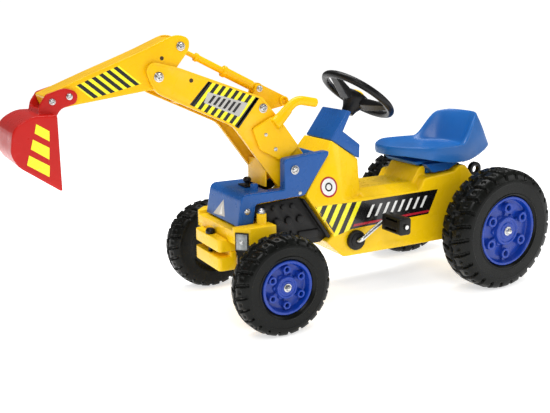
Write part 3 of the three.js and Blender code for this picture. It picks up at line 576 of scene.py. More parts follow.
def rim(node, side):
    """Moulded rim: rolled lip, dished floor, six hollow bosses with ribs and a ringed hub."""
    low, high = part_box(node)
    radius = (high.z - low.z) * 500
    centre = middle(node)
    face = (high.y if side > 0 else -low.y) * 1000
    bm = bmesh.new()
    base, out, floor = on_plane((centre.x, centre.z)), (0, side, 0), face - 16
    dish = [(7, face - 21), (radius, face - 21, 1), (radius, face - 1, 1), (radius - 1.5, face, 1.2),
            (radius - 5.5, face, 1.4), (radius - 7, face - 2.5, 1), (radius - 9, floor + 1, 2),
            (radius - 12, floor, 1.5), (radius * 0.46, floor, 2), (radius * 0.43, floor + 4, 2),
            (radius * 0.4, face - 3, 2), (radius * 0.34, face - 3, 1), (radius * 0.32, face - 5, 1),
            (radius * 0.25, face - 5, 1), (radius * 0.23, face - 3, 1), (7, face - 3)]
    lathe(bm, eased(dish, 1.2, 5), base, out, 96)
    boss = radius * 0.15
    ring = [(boss * 1.12, floor - 1), (boss, floor + 3, 2), (boss, face - 3.4, 1.4),
            (boss * 0.55, face - 3.4, 1.2), (boss * 0.5, face - 6, 1), (boss * 0.45, floor - 4)]
    peg = [(radius * 0.1, floor), (radius * 0.075, floor + 5, 1.5), (0.01, floor + 5.5)]
    for i in range(6):
        angle = math.pi / 6 + i * math.pi / 3
        heading, between = (on_plane((math.cos(a), math.sin(a))) for a in (angle, angle + math.pi / 6))
        spot = base + heading * radius * 0.665
        lathe(bm, eased(ring, 1, 4), spot, out, 32, cap=False)
        lathe(bm, [(boss * 0.5, floor - 3.6), (0.01, floor - 3.7)], spot, out, 16, cap=False)
        for share in (0.5, 0.84):
            at = base + heading * radius * share + Vector((0, side * (floor + 2.2), 0))
            size = Vector((radius * 0.11, 3.6, boss * 0.42))
            block(bm, at - size, at + size, 1.2, Matrix.Rotation(-angle, 4, "Y"))
        lathe(bm, eased(peg, 1.5, 4), base + between * radius * 0.4, out, 20, cap=False)
    return piece(f"{node}_moulding", bm, "rim_plastic", [node], sharp=40)


# End, lugs, groove depth, and the hub nut's radius and height
WHEELS = (("rear", 26, 7.5, 8.5, 11), ("front", 24, 5.5, 7, 9))
for name, side in SIDES:
    for end, lugs, groove, radius, height in WHEELS:
        tyre(f"tyre_{end}_{name}", side, lugs, groove)
        rim(f"rim_{end}_{name}", side)
        node = f"hub_nut_{end}_{name}"
        spot = middle(node)
        back = (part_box(node)[0].y if side > 0 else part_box(node)[1].y) * 1000
        made(f"{node}_cap", "steel", [node],
             (dome_nut, (spot.x, back, spot.z), (0, side, 0), radius, height))
    node = f"kingpin_nut_{name}"
    spot = middle(node)
    made(f"{node}_cap", "steel", [node], (dome_nut, (spot.x, spot.y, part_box(node)[0].z * 1000), UP, 7.5, 10))


# ---------------------------------------------------------------- body mouldings
def wrap(bm, verts):
    """The convex skin of loose vertices."""
    hull = bmesh.ops.convex_hull(bm, input=verts)
    loose = {v for v in hull["geom_unused"] + hull["geom_interior"] if isinstance(v, bmesh.types.BMVert)}
    bmesh.ops.delete(bm, geom=list(loose), context="VERTS")


def wedge(bm, points):
    """The convex solid around points given for one side and mirrored to the other."""
    verts = [bm.verts.new((x, s * y, z)) for s in (-1, 1) for x, y, z in points]
    wrap(bm, verts)


def body_moulding():
    """One blown shell: lower body, tower, deck ridge, seat hump and nose."""
    bm = bmesh.new()
    lower = [(122, 266), (194, 166), (176, 153, 4), (225, 109, 6), (530, 109, 10), (640, 115, 14),
             (691, 150, 16), (691, 243, 8), (640, 243, 4), (616, 269, 6), (592, 297, 6), (572, 297, 6),
             (558, 283, 6), (462, 275, 6), (446, 246), (139, 246)]
    prism(bm, outline(lower), -88, 88, 0)
    wedge(bm, [(124, 84, 271), (139, 88, 243), (220, 88, 243), (287, 62, 243), (204, 60, 384), (224, 60, 371),
               (286, 50, 333)])
    wedge(bm, [(280, 88, 243), (450, 88, 243), (280, 50, 262), (450, 50, 262), (280, 50, 200), (450, 50, 200)])
    prism(bm, outline([(430, 240), (445, 262), (470, 300, 6), (486, 300), (486, 240)]), -58, 58, 0)
    prism(bm, [(26, 196), (26, 246), (119, 262), (160, 262), (196, 168), (178, 154), (112, 192)], -64, 64, 0)
    for side in (-1, 1):
        rib = [(236, 118), (560, 118), (640, 124), (682, 152), (682, 160), (640, 133), (560, 127), (236, 127)]
        plate(bm, rib, side, 86, 88.8)
    return blended(piece("body_shell_moulding", bm, "yellow_plastic", ["body_shell"]), 2.4, 5)


def hood_moulding():
    """The blue hood: front, roof with the boom's slot, side walls with cheeks and a rear wall."""
    bm = bmesh.new()
    shell = outline([(-50, 217), (-38, 287, 16), (62, 287), (133, 287), (119, 269), (-5, 263, 6), (-11, 221)])
    cheek = outline([(68, 276), (68, 356, 8), (183, 365, 5), (183, 357, 3), (123, 273), (84, 270)])
    for side in (-1, 1):
        plate(bm, shell, side, 78, 82)
        plate(bm, cheek, side, 58, 82)
        plate(bm, [(20, 282.6), (20, 287), (133, 287), (130, 282.6)], side, 54, 81)
    skin = outline([(-50, 217), (-38, 287, 16), (34, 287), (34, 282.6), (-34, 282.6, 12), (-45.6, 217)])
    prism(bm, skin, -81, 81, 0)
    prism(bm, [(124, 286), (133, 286), (181, 356), (171, 358)], -59, 59, 0)
    lathe(bm, [(9, -2), (9, 10), (7, 13), (0.01, 13)], (14, -38, 287), UP, 32)
    return blended(piece("hood_moulding", bm, "blue_plastic", ["hood"]), 1.7, 5)


BODY = body_moulding()
HOOD = hood_moulding()
knob_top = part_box("lock_knob")[1].z * 1000
knob = [(8, 290), (5.5, 292, 2), (5.5, knob_top - 12, 2), (9.5, knob_top - 9, 3), (9.5, knob_top - 4, 3),
        (6, knob_top, 2), (0.01, knob_top)]
made("lock_knob_moulding", "black_plastic", ["lock_knob"], (block, (2, -19.5, 287.4), (24, 19.5, 291), 1.4),
     (lathe, eased(knob, 1.5), (12, -8, 0), UP, 40))
# A black sheet on the +y inner wall of the hood's slot only: painted shade in the gap beside the boom
shade_sheet = outline([(36, 248, 3), (36, 281, 3), (121, 281, 3), (112, 266, 3), (60, 250, 3)])
made("hood_slot_painted_shade", "black_plastic", (), (prism, shade_sheet, 49, 51.5, 0.8), body="chassis")
backing = outline([(76, 178, 3), (112, 178, 3), (112, 208, 3), (76, 208, 3)])
for name, side in SIDES:
    made(f"engine_panel_backing_{name}", "black_plastic", (), (plate, backing, side, 60, 63, 0.8), body="chassis")
bracket = [(496, 78, 283), (470, 78, 307), (545, 78, 287), (584, 78, 306), (520, 78, 308)]
blended(made("seat_bracket", "blue_plastic", (), (wedge, bracket), body="chassis"), 2.0, 4)
for bevel, nodes in ((3.0, ("dashboard", "bumper_upper", "bumper_lower", "seat_base")),
                     (2.0, ("front_axle_housing",)), (1.6, ("pedal_left", "pedal_right")), (1.5, ("tow_ring",)),
                     (1.2, ("engine_panel_left", "engine_panel_right")),
                     (1.0, ("hitch_pin", "crank_bush_left", "crank_bush_right", "axle_bush_left",
                            "axle_bush_right")), (0.8, ("under_tray",)),
                     (0.6, ("knuckle_left", "knuckle_right", "tie_rod")),
                     (0.3, ("crank_sprocket", "rear_sprocket"))):
    for node in nodes:
        softened(node, bevel)


# ---------------------------------------------------------------- seat
SEAT_SIDES, SEAT_X = 128, 523
FACE_RINGS = (0.02, 0.15, 0.3, 0.45, 0.6, 0.66, 0.7, 0.73, 0.75, 0.765, 0.78, 0.795, 0.81, 0.84, 0.88, 0.92, 0.95,
              0.97, 0.983, 0.992)
SKIRT_RINGS = (0.02, 0.05, 0.1, 0.18, 0.3, 0.45, 0.6, 0.75, 0.88, 0.96)
UNDERSIDE_RINGS = (0.95, 0.91, 0.87, 0.83, 0.79, 0.75, 0.7, 0.5, 0.02)


def seat_rim(angle):
    """A point on the saddle's outline, with the height of its rim."""
    c, s = math.cos(angle), math.sin(angle)
    power = 2.7 if c < 0 else 2.35
    reach = (abs(c) ** power + abs(s) ** power) ** (-1 / power)
    x = SEAT_X + reach * c * (132 if c < 0 else 141)
    half = 66 + 36 * step(x, 388, 480)
    climb = 72 - 11 * step(abs(reach * s * half), 45, 100)
    return Vector((x, reach * s * half, 352 + climb * step(x, 572, 634)))


def seat_face(share):
    """The top face, with a soft crease where the pan turns up into the back."""
    def shape(rim):
        crease = 2.6 * math.exp(-((share - 0.78) / 0.022) ** 2) * step(rim.x, 600, 650)
        x = 505 + (rim.x - 505) * share
        dish = 2.5 * (1 - share ** 2)
        return Vector((x, rim.y * share, 342 + (rim.z - 342) * step(share, 0.74, 1.0) - crease - dish))
    return shape


def seat_skirt(share, inset):
    """The outer skirt, bulged a little and flared at the rear."""
    def shape(rim):
        flare = 54 * step(rim.x, 560, 660) * share
        foot = 328 - 22 * step(rim.x, 390, 570) + 28 * step(rim.x, 580, 655)
        bulge = 1.6 * math.sin(math.pi * min(share * 1.2, 1.0)) - inset
        shrink = 1 + bulge / math.hypot(rim.x - SEAT_X, rim.y)
        return Vector((SEAT_X + (rim.x + flare - SEAT_X) * shrink, rim.y * shrink,
                       rim.z + (foot - rim.z) * share))
    return shape


def seat():
    bm = bmesh.new()
    shapes = [seat_face(k) for k in FACE_RINGS] + [seat_skirt(k, 0) for k in SKIRT_RINGS]
    shapes += [seat_skirt(1, 1), seat_skirt(1, 5), seat_skirt(0.8, 6), seat_skirt(0.3, 7)]
    shapes += [lambda rim, k=k: seat_face(k)(rim) - Vector((-3 * k, 0, 9)) for k in UNDERSIDE_RINGS]
    rows = [[bm.verts.new(shape(seat_rim(angle))) for angle in turns(SEAT_SIDES)] for shape in shapes]
    grid_faces(bm, rows)
    bm.faces.new(rows[0])
    bm.faces.new(rows[-1])
    return blended(piece("seat_moulding", bm, "seat_plastic", ["seat"], sharp=60), 1.8, 14)


seat()
stud = [(0.01, 0), (9, 0), (11, 3), (11, 14), (8, 18), (0.01, 18)]
made("seat_lock_knob", "black_plastic", (), (lathe, eased(stud, 2), (583, -62, 280), UP, 40), body="chassis")

# ---------------------------------------------------------------- steering wheel
TILT = math.radians(35.4)
WHEEL_TURN = Matrix.Translation(on_plane(WHEEL_CENTRE)) @ Matrix.Rotation(TILT, 4, "Y")
RING_RADIUS, GRIP_RADIUS = 89, 8.8

bm = bmesh.new()
ring = []
for a in turns(96):
    section = [(RING_RADIUS + GRIP_RADIUS * math.cos(b), GRIP_RADIUS * math.sin(b)) for b in turns(20)]
    ring.append([bm.verts.new((reach * math.cos(a), reach * math.sin(a), z)) for reach, z in section])
grid_faces(bm, ring, closed_rows=True)
hub = [(4.6, -52), (15, -52, 2), (18, -40, 3), (33, -14, 6), (34, -2, 3), (27, 0, 1.5), (24, -2, 1), (24, -14, 1),
       (4.6, -14)]
lathe(bm, eased(hub, 2), (0, 0, 0), UP, 64, cap=False)
lathe(bm, [(4.6, -52), (4.6, -14)], (0, 0, 0), UP, 64, cap=False)
spoke = [(26, -19, -27), (26, 19, -27), (26, -19, -7), (26, 19, -7), (50, -11, -15), (50, 11, -15), (88, -14, -4),
         (88, 14, -4), (88, -12, 4), (88, 12, 4)]
for i in range(3):
    spin = Matrix.Rotation(math.pi + i * 2 * math.pi / 3, 4, "Z")
    wrap(bm, [bm.verts.new(spin @ Vector(p)) for p in spoke])
moved(bm, WHEEL_TURN)
blended(piece("steering_wheel_moulding", bm, "black_plastic", ["steering_wheel"]), 1.5, 3)
button = [(0.01, -4.6), (20, -4.6, 0.5), (20, -1, 2), (17, 4, 4), (10, 8, 4), (0.01, 9.5)]
made("horn_button_moulding", "yellow_plastic", ["horn_button"], (lathe, eased(button, 3, 8), (0, 0, 0), UP, 64),
     (moved, WHEEL_TURN))


def on_column(reach):
    """A point on the steering column, this far below the wheel's centre."""
    return on_plane(WHEEL_CENTRE) - Vector((math.sin(TILT), 0, math.cos(TILT))) * reach


foot = on_column(340)
bends = [on_column(38), foot, (62, 0, foot.z + 20), (62, 0, 168)]
made("steering_column_rod", "steel", ["steering_column"], (tube, bends, 4))


# ---------------------------------------------------------------- digger arm
BOOM_HALF, DIPPER_HALF = 46, 38
BOOM_SIDE = [(-231, 556, 20), (-216, 572, 20), (-160, 559, 8), (32, 490, 8), (66, 450, 6), (139, 354, 10),
             (120, 298, 24), (74, 284, 12), (42, 325, 6), (-38, 431, 14), (-214, 511, 22)]
DIPPER_SIDE = [(-431, 514, 3), (-338, 552, 10), (-236, 592, 20), (-158, 626, 16), (-130, 617, 14),
               (-131, 594, 12), (-160, 558, 4), (-178, 530, 14), (-203, 514, 10), (-222, 515, 6), (-367, 494, 6),
               (-421, 485, 4)]


def boom():
    bm = bmesh.new()
    for s in (-1, 1):
        plate(bm, outline(BOOM_SIDE), s, BOOM_HALF - 5, BOOM_HALF, 1.6)
    for web in ([(-112, 535), (-112, 541), (0, 501), (0, 495)],
                [(100, 402), (105, 400), (136, 360), (118, 302), (113, 303), (130, 359)],
                [(-34, 436), (-30, 434), (8, 470), (4, 472)], [(40, 290), (44, 290), (44, 344), (40, 348)],
                [(-150, 484), (-146, 482), (-120, 506), (-124, 508)]):
        prism(bm, web, -42, 42, 0.8)
    lathe(bm, [(16, -42), (16, 42)], on_plane(BOOM_PIVOT), ACROSS, 40)
    rim = outline(BOOM_SIDE)
    for s in (-1, 1):
        for depth, inner, outer in ((3.2, BOOM_HALF - 9, BOOM_HALF - 3), (4, BOOM_HALF - 1, BOOM_HALF + 1)):
            prism_ring(bm, rim, rib_along(rim, depth), *sorted((s * inner, s * outer)))
    piece("boom_moulding", bm, "arm_plastic", ["boom"])


def rib_along(points, depth):
    """The outline moved inwards by a depth."""
    before, after = points[-1:] + points[:-1], points[1:] + points[:1]
    depth *= 1 if sum(a[0] * b[1] - b[0] * a[1] for a, b in zip(before, points)) > 0 else -1
    out = []
    for a, (x, z), b in zip(before, points, after):
        along = (Vector(b) - Vector(a)).normalized()
        out.append((x - along.y * depth, z + along.x * depth))
    return out


def prism_ring(bm, outer, inner, y0, y1):
    """The band between an outline and the same outline moved inwards."""
    rows = [[bm.verts.new((x, y, z)) for x, z in ring] for ring, y in
            ((outer, y0), (outer, y1), (inner, y1), (inner, y0))]
    grid_faces(bm, rows, closed_rows=True)


def dipper():
    bm = bmesh.new()
    for s in (-1, 1):
        plate(bm, outline(DIPPER_SIDE), s, DIPPER_HALF - 6, DIPPER_HALF)
    top = [(-430, 508), (-430, 514), (-338, 552), (-236, 592), (-174, 620), (-172, 613), (-235, 585),
           (-337, 545)]
    for web in (top, [(-430, 512), (-425, 512), (-416, 487), (-421, 486)],
                [(-300, 506), (-295, 506), (-290, 566), (-295, 565)]):
        prism(bm, web, -33, 33, 0)
    lathe(bm, [(16, -34), (16, 34)], on_plane(DIPPER_PIVOT), ACROSS, 40)
    blended(piece("dipper_moulding", bm, "arm_plastic", ["dipper"]), 1.6, 5)


def bucket():
    bm = bmesh.new()
    cheek = [(-416, 336), (-416, 480, 3), (-462, 481, 14), (-498, 462, 24), (-506, 412, 20), (-492, 388, 8)]
    ear = [(-432, 510, 6), (-428, 517, 6), (-390, 529, 14), (-367, 518, 14), (-370, 498, 12), (-402, 488, 8),
           (-410, 475), (-446, 475), (-440, 500, 8)]
    for s in (-1, 1):
        plate(bm, outline(cheek), s, 72, 76)
        plate(bm, outline(ear), s, DIPPER_HALF + 0.5, DIPPER_HALF + 7)
    back = [(-419, 336), (-492, 388, 8), (-506, 412, 20), (-498, 462, 24), (-462, 481, 14), (-416, 480)]
    front = [(-416, 476), (-461, 477, 12), (-494, 460, 22), (-501.5, 414, 18), (-489, 391, 8), (-416, 341)]
    prism(bm, eased(back, 8) + eased(front, 8), -74, 74, 0)
    prism(bm, [(-440, 476), (-446, 478), (-441, 490), (-435, 490)], -40, 40, 0)
    blended(piece("bucket_moulding", bm, "red_plastic", ["bucket"]), 1.6, 4)


def boom_handle():
    bm = bmesh.new()
    root = [(4, 424, 8), (58, 450, 14), (82, 428, 6), (120, 378, 6), (84, 344, 6), (22, 376, 8)]
    prism(bm, outline(root), -54.6, -46.6, 0)
    tube(bm, [(58, -58, 436), (111, -58, 482), (162, -58, 472.4)], 10.3, 32, 18)
    lathe(bm, eased([(10.3, 0), (10.3, 1), (6, 3.6), (0.01, 4)], 2), (160, -58, 472.8), (0.98, 0, -0.19), 32)
    lathe(bm, [(15, 0), (14, 12), (12, 30), (10.3, 46), (8, 50)], (56, -57, 430), (0.75, 0, 0.66), 32)
    blended(piece("boom_handle_moulding", bm, "arm_plastic", ["boom_handle"]), 1.5, 3)


def around_discs(discs):
    """The outline stretched round discs."""
    points = [Vector((x + r * math.cos(a), z + r * math.sin(a))) for (x, z), r in discs for a in turns(40)]
    return [tuple(points[i]) for i in convex_hull_2d(points)]


def lever():
    bm = bmesh.new()
    shape = around_discs([(LEVER_PIVOT, 14), (ROD_REAR, 10), (GRIP, 11)])
    for s in (-1, 1):
        plate(bm, shape, s, 9, 15, 1.4)
    eye(bm, LEVER_PIVOT, 5.8, 14, 40.4)
    eye(bm, GRIP, 7, 11, 20)
    piece("dipper_lever_moulding", bm, "arm_plastic", ["dipper_lever"])


def link_rod():
    """A ram-like rod: slim front bar with two collars, then a stouter barrel up to the lever."""
    front = on_plane(ROD_FRONT)
    axis = on_plane(ROD_REAR) - front
    bm = bmesh.new()
    stations = [(4.6, 0.03), (5, 0.06), (5, 0.235), (9.3, 0.24), (9.3, 0.27), (7.4, 0.275), (7.4, 0.565),
                (12.8, 0.57), (12.8, 0.605), (10.8, 0.61), (10.8, 0.93), (9, 0.945)]
    lathe(bm, eased([(r, t * axis.length) for r, t in stations], 1.4), front, axis, 40)
    eye(bm, ROD_FRONT, 4.5, 9, 6, 0.8)
    eye(bm, ROD_REAR, 7.4, 12.5, 7, 0.8)
    piece("link_rod_moulding", bm, "arm_plastic", ["link_rod"])


for build in (boom, dipper, bucket, boom_handle, lever, link_rod):
    build()


# ---------------------------------------------------------------- metal fittings
def through_bolt(node, radius, head):
    """A shaft with a domed head at each end, as long as the CAD one."""
    spot = middle(node)
    half = half_width(node)
    height = head * 0.62
    bm = bmesh.new()
    lathe(bm, [(radius, -half + height), (radius, half - height)], (spot.x, 0, spot.z), ACROSS, 32)
    for s in (-1, 1):
        bolt_head(bm, (spot.x, s * (half - height), spot.z), (0, s, 0), head * 0.82, height)
    piece(f"{node}_metal", bm, "steel", [node])


for node, radius, head in (("boom_pivot_bolt", 5, 10), ("dipper_pivot_bolt", 5, 10), ("lever_pivot_bolt", 5, 10),
                           ("link_pin_rear", 4, 7), ("link_pin_front", 4, 9), ("bucket_bolt_1", 3, 6),
                           ("bucket_bolt_2", 3, 6)):
    through_bolt(node, radius, head)


def screw(name, at, axis, radius, body):
    made(name, "steel", (), (bolt_head, at, axis, radius, radius * 0.6), body=body)


for name, side in SIDES:
    for end, x, z, radius in (("front", -26, 249, 5.5), ("rear", 107, 276, 3.5)):
        screw(f"hood_screw_{end}_{name}", (x, side * 81.8, z), (0, side, 0), radius, "chassis")
for name, x, z, radius in (("handle_screw_1", 36, 409, 3.2), ("handle_screw_2", 60, 375, 3.6)):
    screw(name, (x, -54.4, z), (0, -1, 0), radius, "boom")

ends = half_width("rear_axle")
bar = [(0.01, -ends), (4.6, -ends), (6, -ends + 2), (6, ends - 2), (4.6, ends), (0.01, ends)]
made("rear_axle_bar", "steel", ["rear_axle"], (lathe, eased(bar, 0.5), on_plane(REAR_AXLE), ACROSS, 40))

crank_x, crank_z = CRANK_AXIS
bends = [(70, -193, 44), (70, -108, 44), (0, -108, 0), (0, 108, 0), (-70, 108, -44), (-70, 193, -44)]
made("crank_bar", "steel", ["crank"],
     (tube, [(crank_x + x, y, crank_z + z) for x, y, z in bends], 4.9, 28, 12))


def chain():
    """Roller chain: side plates and rollers along the belt's line round both sprockets."""
    a, b = Vector(CRANK_AXIS), Vector(REAR_AXLE)
    ra, rb = CRANK_RADIUS + CHAIN_RISE, REAR_RADIUS + CHAIN_RISE
    line = b - a
    heading, spread = math.atan2(line.y, line.x), math.acos((ra - rb) / line.length)

    def on(centre, radius, turn):
        return centre + Vector((math.cos(heading + turn), math.sin(heading + turn))) * radius

    path = [on(a, ra, spread + (2 * math.pi - 2 * spread) * k / 60) for k in range(61)]
    path += [on(b, rb, -spread + 2 * spread * k / 40) for k in range(41)]
    path.append(path[0])
    lengths = [0.0]
    for p, q in zip(path, path[1:]):
        lengths.append(lengths[-1] + (q - p).length)
    count = 2 * round(lengths[-1] / (2 * CHAIN_PITCH))
    spots, k = [], 0
    for i in range(count):
        target = lengths[-1] * i / count
        while lengths[k + 1] < target:
            k += 1
        share = (target - lengths[k]) / max(lengths[k + 1] - lengths[k], 1e-9)
        spots.append(path[k].lerp(path[k + 1], share))
    bm = bmesh.new()
    for i, here in enumerate(spots):
        there = spots[(i + 1) % count]
        reach = 1.9 if i % 2 else 2.9
        for s in (-1, 1):
            y = CHAIN_Y + s * reach
            prism(bm, around_discs([(tuple(here), 2.4), (tuple(there), 2.4)]), y - 0.45, y + 0.45, 0)
        lathe(bm, [(1.6, -3.6), (1.6, 3.6)], (here.x, CHAIN_Y, here.y), ACROSS, 12)
    piece("chain_links", bm, "dark_steel", ["chain"])


chain()
for name, side in SIDES:
    spot = middle(f"corner_plate_{name}")
    turn = Matrix.Translation(spot) @ Matrix.Rotation(-side * math.pi / 4, 4, "Z")
    for part, size, bevel, material in (("frame", (1.4, 15, 20), 0.8, "black_plastic"),
                                        ("reflector", (1.9, 12.6, 17.6), 0.7, "lamp")):
        nodes = [f"corner_plate_{name}"] if part == "frame" else ()
        made(f"corner_plate_{part}_{name}", material, nodes, (block, -Vector(size), size, bevel), (moved, turn),
             body="chassis")
    made(f"corner_plate_screw_{name}", "steel", (), (bolt_head, (-1.6, 0, 0), (-1, 0, 0), 3.6, 2.4), (moved, turn),
         body="chassis")


# ---------------------------------------------------------------- stickers, and decals of painted shade
def surface(obj):
    bm = bmesh.new()
    bm.from_mesh(obj.data)
    tree = BVHTree.FromBMesh(bm)
    bm.free()
    return tree


def decal(name, polygons, material, body, y=None, onto=None, along="y", sign=-1, lift=0.3):
    """Flat shapes laid on a plane y, or cast along an axis onto a piece's own surface."""
    bm = bmesh.new()
    for polygon in polygons:
        bm.faces.new([bm.verts.new((a, 0, b)) for a, b in polygon])
    if onto:
        bmesh.ops.triangulate(bm, faces=bm.faces)
        for _ in range(3):
            bmesh.ops.subdivide_edges(bm, edges=bm.edges, cuts=1, use_grid_fill=True)
    for vert in bm.verts:
        a, b = vert.co.x, vert.co.z
        if onto is None:
            vert.co = Vector((a, y, b))
            continue
        start = Vector((a, sign * 300, b)) if along == "y" else Vector((sign * 300, a, b))
        way = Vector((0, -sign, 0)) if along == "y" else Vector((-sign, 0, 0))
        hit, normal, _, _ = onto.ray_cast(TO_FRAME @ start, way)
        vert.co = TO_FRAME.inverted() @ (hit + normal * lift / 1000)
    moved(bm, TO_FRAME)
    return riding(name, bm, material, body)


def within(corners, u, v):
    """A point at shares u (along) and v (up) of a four-cornered panel."""
    low = Vector(corners[0]).lerp(Vector(corners[1]), u)
    high = Vector(corners[3]).lerp(Vector(corners[2]), u)
    return tuple(low.lerp(high, v))


def clipped(shape, corners):
    """The part of a convex shape inside a convex panel."""
    area = sum(a[0] * b[1] - b[0] * a[1] for a, b in zip(corners, corners[1:] + corners[:1]))
    for a, b in zip(corners, corners[1:] + corners[:1]):
        def side_of(p):
            turn = (b[0] - a[0]) * (p[1] - a[1]) - (b[1] - a[1]) * (p[0] - a[0])
            return turn if area > 0 else -turn
        kept = []
        for p, q in zip(shape, shape[1:] + shape[:1]):
            here, there = side_of(p), side_of(q)
            if here >= 0:
                kept.append(p)
            if (here > 0 > there) or (here < 0 < there):
                kept.append(tuple(Vector(p).lerp(Vector(q), here / (here - there))))
        shape = kept
    return shape


def bars(corners, count, lean, fill=0.5, low=None, high=None):
    """Equal parallel bars over a panel, all leaning one way and cut off at its edges."""
    lean = Vector(lean).normalized()
    across = Vector((-lean.y, lean.x))
    spread = [Vector(p).dot(across) for p in corners]
    first, pitch = min(spread), (max(spread) - min(spread)) / count
    band = corners
    if low is not None:
        band = [within(corners, u, v) for u, v in ((0, low), (1, low), (1, high), (0, high))]
    shapes = []
    for i in range(count):
        start = first + pitch * (i + 0.5 - fill / 2)
        ends = [across * k + lean * reach for k, reach in ((start, -900), (start + pitch * fill, -900),
                                                          (start + pitch * fill, 900), (start, 900))]
        shape = clipped([tuple(p) for p in ends], band)
        if len(shape) > 2:
            shapes.append(shape)
    return shapes


def disc(x, z, radius, inner=0.0, steps=48):
    if inner == 0:
        return [[(x + radius * math.cos(a), z + radius * math.sin(a)) for a in turns(steps)]]
    angles = [2 * math.pi * i / steps for i in range(steps + 1)]
    return [[(x + r * math.cos(t), z + r * math.sin(t))
             for r, t in ((radius, a), (radius, b), (inner, b), (inner, a))]
            for a, b in zip(angles, angles[1:])]


BODY_SKIN, HOOD_SKIN = surface(BODY), surface(HOOD)
BOOM_LABEL = [(-138, 483), (-26, 426), (27, 491), (-95, 529)]
BOOM_BAND = [(-106, 485), (-25, 451), (-3, 479), (-96, 507)]
DIPPER_LABEL = [(-339, 504), (-237, 529), (-282, 566), (-370, 530)]
STRIPES = [(196, 163), (246, 175), (279, 239), (143, 241)]
PANEL = [(246, 175), (476, 183), (504, 243), (279, 239)]
PANEL_LINE = [within(PANEL, u, v) for u, v in ((0.0, 0.08), (1.0, 0.08), (1.0, 0.17), (0.0, 0.17))]
BUCKET_LABELS = [[(-434, 433), (-460, 450), (-456, 467), (-433, 452)],
                 [(-437, 399), (-469, 421), (-464, 439), (-435, 421)],
                 [(-439, 366), (-478, 392), (-473, 410), (-437, 387)]]
TOWER_SPOT, BOOM_HOLE, DIPPER_HOLE, BUCKET_HALF = (184, 281), (-133, 532), (-192, 578), 76
BOOM_ENDS = [[within(BOOM_LABEL, u, v) for u, v in ((a, 0), (b, 0), (b, 1), (a, 1))]
             for a, b in ((0, 0.04), (0.94, 1))]
BODY_LEAN = (33, 64)
# Name, shapes, material, body, and the distance from the middle plane
FLAT_STICKERS = (
    ("boom_label", [BOOM_LABEL], "yellow_print", "boom", BOOM_HALF + 0.12),
    ("boom_stripes", BOOM_ENDS + bars(BOOM_LABEL, 8, (48, 55)), "black_print", "boom", BOOM_HALF + 0.24),
    ("boom_band", [BOOM_BAND], "silver_print", "boom", BOOM_HALF + 0.3),
    ("boom_band_marks", bars(BOOM_BAND, 8, (25, 28), 0.5, 0.14, 0.86)[1:-1], "black_print", "boom",
     BOOM_HALF + 0.36),
    ("dipper_label", [DIPPER_LABEL], "yellow_print", "dipper", DIPPER_HALF + 0.12),
    ("dipper_stripes", bars(DIPPER_LABEL, 6, (-45, 37), 0.52), "black_print", "dipper", DIPPER_HALF + 0.24),
    ("bucket_labels", BUCKET_LABELS, "yellow_print", "dipper", BUCKET_HALF + 0.35),
    # Dark discs of painted shade where the plates' holes are
    ("boom_painted_shade", disc(*BOOM_HOLE, 4.5), "painted_shade", "boom", BOOM_HALF + 0.14),
    ("dipper_painted_shade", disc(*DIPPER_HOLE, 4.2), "painted_shade", "dipper", DIPPER_HALF + 0.14))
# Name, shapes, material and height above the body's skin
BODY_STICKERS = (
    ("body_stripe_ground", [STRIPES], "black_print", 0.3),
    ("body_stripes", bars(STRIPES, 5, BODY_LEAN, 0.5), "yellow_print", 0.5),
    ("body_panel", [PANEL], "black_print", 0.3),
    ("body_panel_line", [PANEL_LINE], "red_print", 0.5),
    ("body_panel_marks", bars(PANEL, 10, BODY_LEAN, 0.34, 0.34, 0.8)[1:-1], "white_print", 0.5),
    ("tower_disc", disc(*TOWER_SPOT, 20), "white_print", 0.3),
    ("tower_ring", disc(*TOWER_SPOT, 23.5, 19.5), "red_print", 0.5),
    ("tower_mark", disc(*TOWER_SPOT, 10, 6.5), "black_print", 0.6))
for name, side in SIDES:
    for label, shapes, material, body, out in FLAT_STICKERS:
        decal(f"{label}_{name}", shapes, material, body, side * out)
    for label, shapes, material, lift in BODY_STICKERS:
        decal(f"{label}_{name}", shapes, material, "chassis", onto=BODY_SKIN, sign=side, lift=lift)
decal("hood_front_label", [[(-15, 226), (45, 222), (2, 262)]], "silver_print", "chassis", onto=HOOD_SKIN,
      along="x")
decal("hood_front_mark", [[(0, 228), (14, 227), (4, 252)]], "white_print", "chassis", onto=HOOD_SKIN, along="x",
      lift=0.5)
# A dark strip of painted shadow along the boom handle plate's front edge
decal("boom_handle_painted_shadow_left", [outline([(6, 424, 3), (11, 426, 3), (35, 382, 3), (30, 379, 3)])], "painted_shade", "boom",
      -(BOOM_HALF + 0.2))

# ---------------------------------------------------------------- stage and camera
bpy.ops.mesh.primitive_plane_add(size=40, location=(0, 0, 0))
floor = bpy.context.object
floor.name = "floor"
pale = Shader("pale_floor")
floor.data.materials.append(pale.set(
    base_color=pale.mix(pale.noise(3.0), (0.9, 0.9, 0.9), (0.94, 0.94, 0.94)), roughness=0.7,
    emission_strength=0.62))
pale.bsdf.inputs["Emission Color"].default_value = (1, 1, 1, 1)

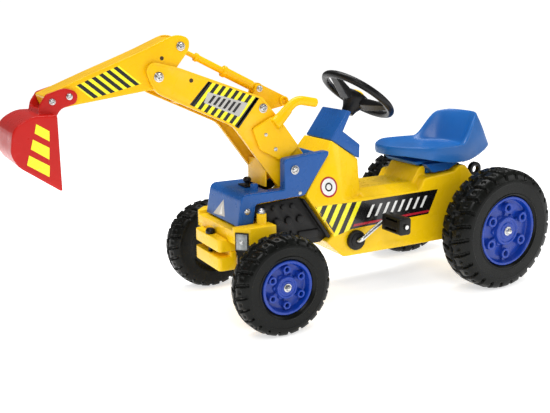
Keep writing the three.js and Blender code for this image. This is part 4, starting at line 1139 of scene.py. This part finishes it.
# Strength of the white surroundings on the object, to the camera, and what glossy reflections lose
LIGHT_ON_OBJECT, LIGHT_SEEN, LIGHT_HELD_BACK = 0.5, 1.05, 0.36
world = bpy.data.worlds.new("studio")
bpy.context.scene.world = world
world.use_nodes = True
tree = world.node_tree
glow = tree.nodes["Background"]
glow.inputs["Color"].default_value = (1, 1, 1, 1)
rays = tree.nodes.new("ShaderNodeLightPath")
seen = new_node(tree, "ShaderNodeMapRange", Value=rays.outputs["Is Camera Ray"], To_Min=LIGHT_ON_OBJECT,
                To_Max=LIGHT_SEEN)
mirrored = new_node(tree, "ShaderNodeMapRange", Value=rays.outputs["Is Glossy Ray"], To_Min=0.0,
                    To_Max=LIGHT_HELD_BACK)
dimmed = tree.nodes.new("ShaderNodeMath")
dimmed.operation = "SUBTRACT"
feed(tree, dimmed.inputs[0], seen.outputs["Result"])
feed(tree, dimmed.inputs[1], mirrored.outputs["Result"])
feed(tree, glow.inputs["Strength"], dimmed.outputs["Value"])


def softbox(name, position, target, size, power):
    data = bpy.data.lights.new(name, "AREA")
    data.shape = "RECTANGLE"
    data.size, data.size_y = size
    data.energy = power
    lamp = bpy.data.objects.new(name, data)
    lamp.location = position
    lamp.rotation_euler = (Vector(target) - Vector(position)).to_track_quat("-Z", "Y").to_euler()
    bpy.context.scene.collection.objects.link(lamp)


for name, position, size, watts in (("key", (-1.4, -2.4, 2.6), (1.3, 1.0), 36),
                                    ("fill", (2.4, -1.8, 1.2), (1.2, 1.2), 12),
                                    ("top", (0.2, 0.6, 3.0), (2.4, 1.6), 78)):
    softbox(name, position, (0, 0, 0.3), size, watts)

CAMERA_SPOT = (-751.8, -1506.0, 640.6)
camera_data = bpy.data.cameras.new("camera")
camera_data.lens = 49.7
camera_data.sensor_width = 36
camera_data.clip_start = 0.05
camera = bpy.data.objects.new("camera", camera_data)
azimuth, fall, roll = math.radians(29.153), math.radians(13.387), math.radians(-0.27)
heading = Vector((math.sin(azimuth) * math.cos(fall), math.cos(azimuth) * math.cos(fall), -math.sin(fall)))
turn = heading.to_track_quat("-Z", "Y").to_matrix().to_4x4() @ Matrix.Rotation(roll, 4, "Z")
camera.matrix_world = Matrix.Translation(place(*CAMERA_SPOT)) @ turn
bpy.context.scene.collection.objects.link(camera)
bpy.context.scene.camera = camera
bpy.context.scene.view_settings.view_transform = "Standard"
bpy.context.scene.view_settings.look = "None"
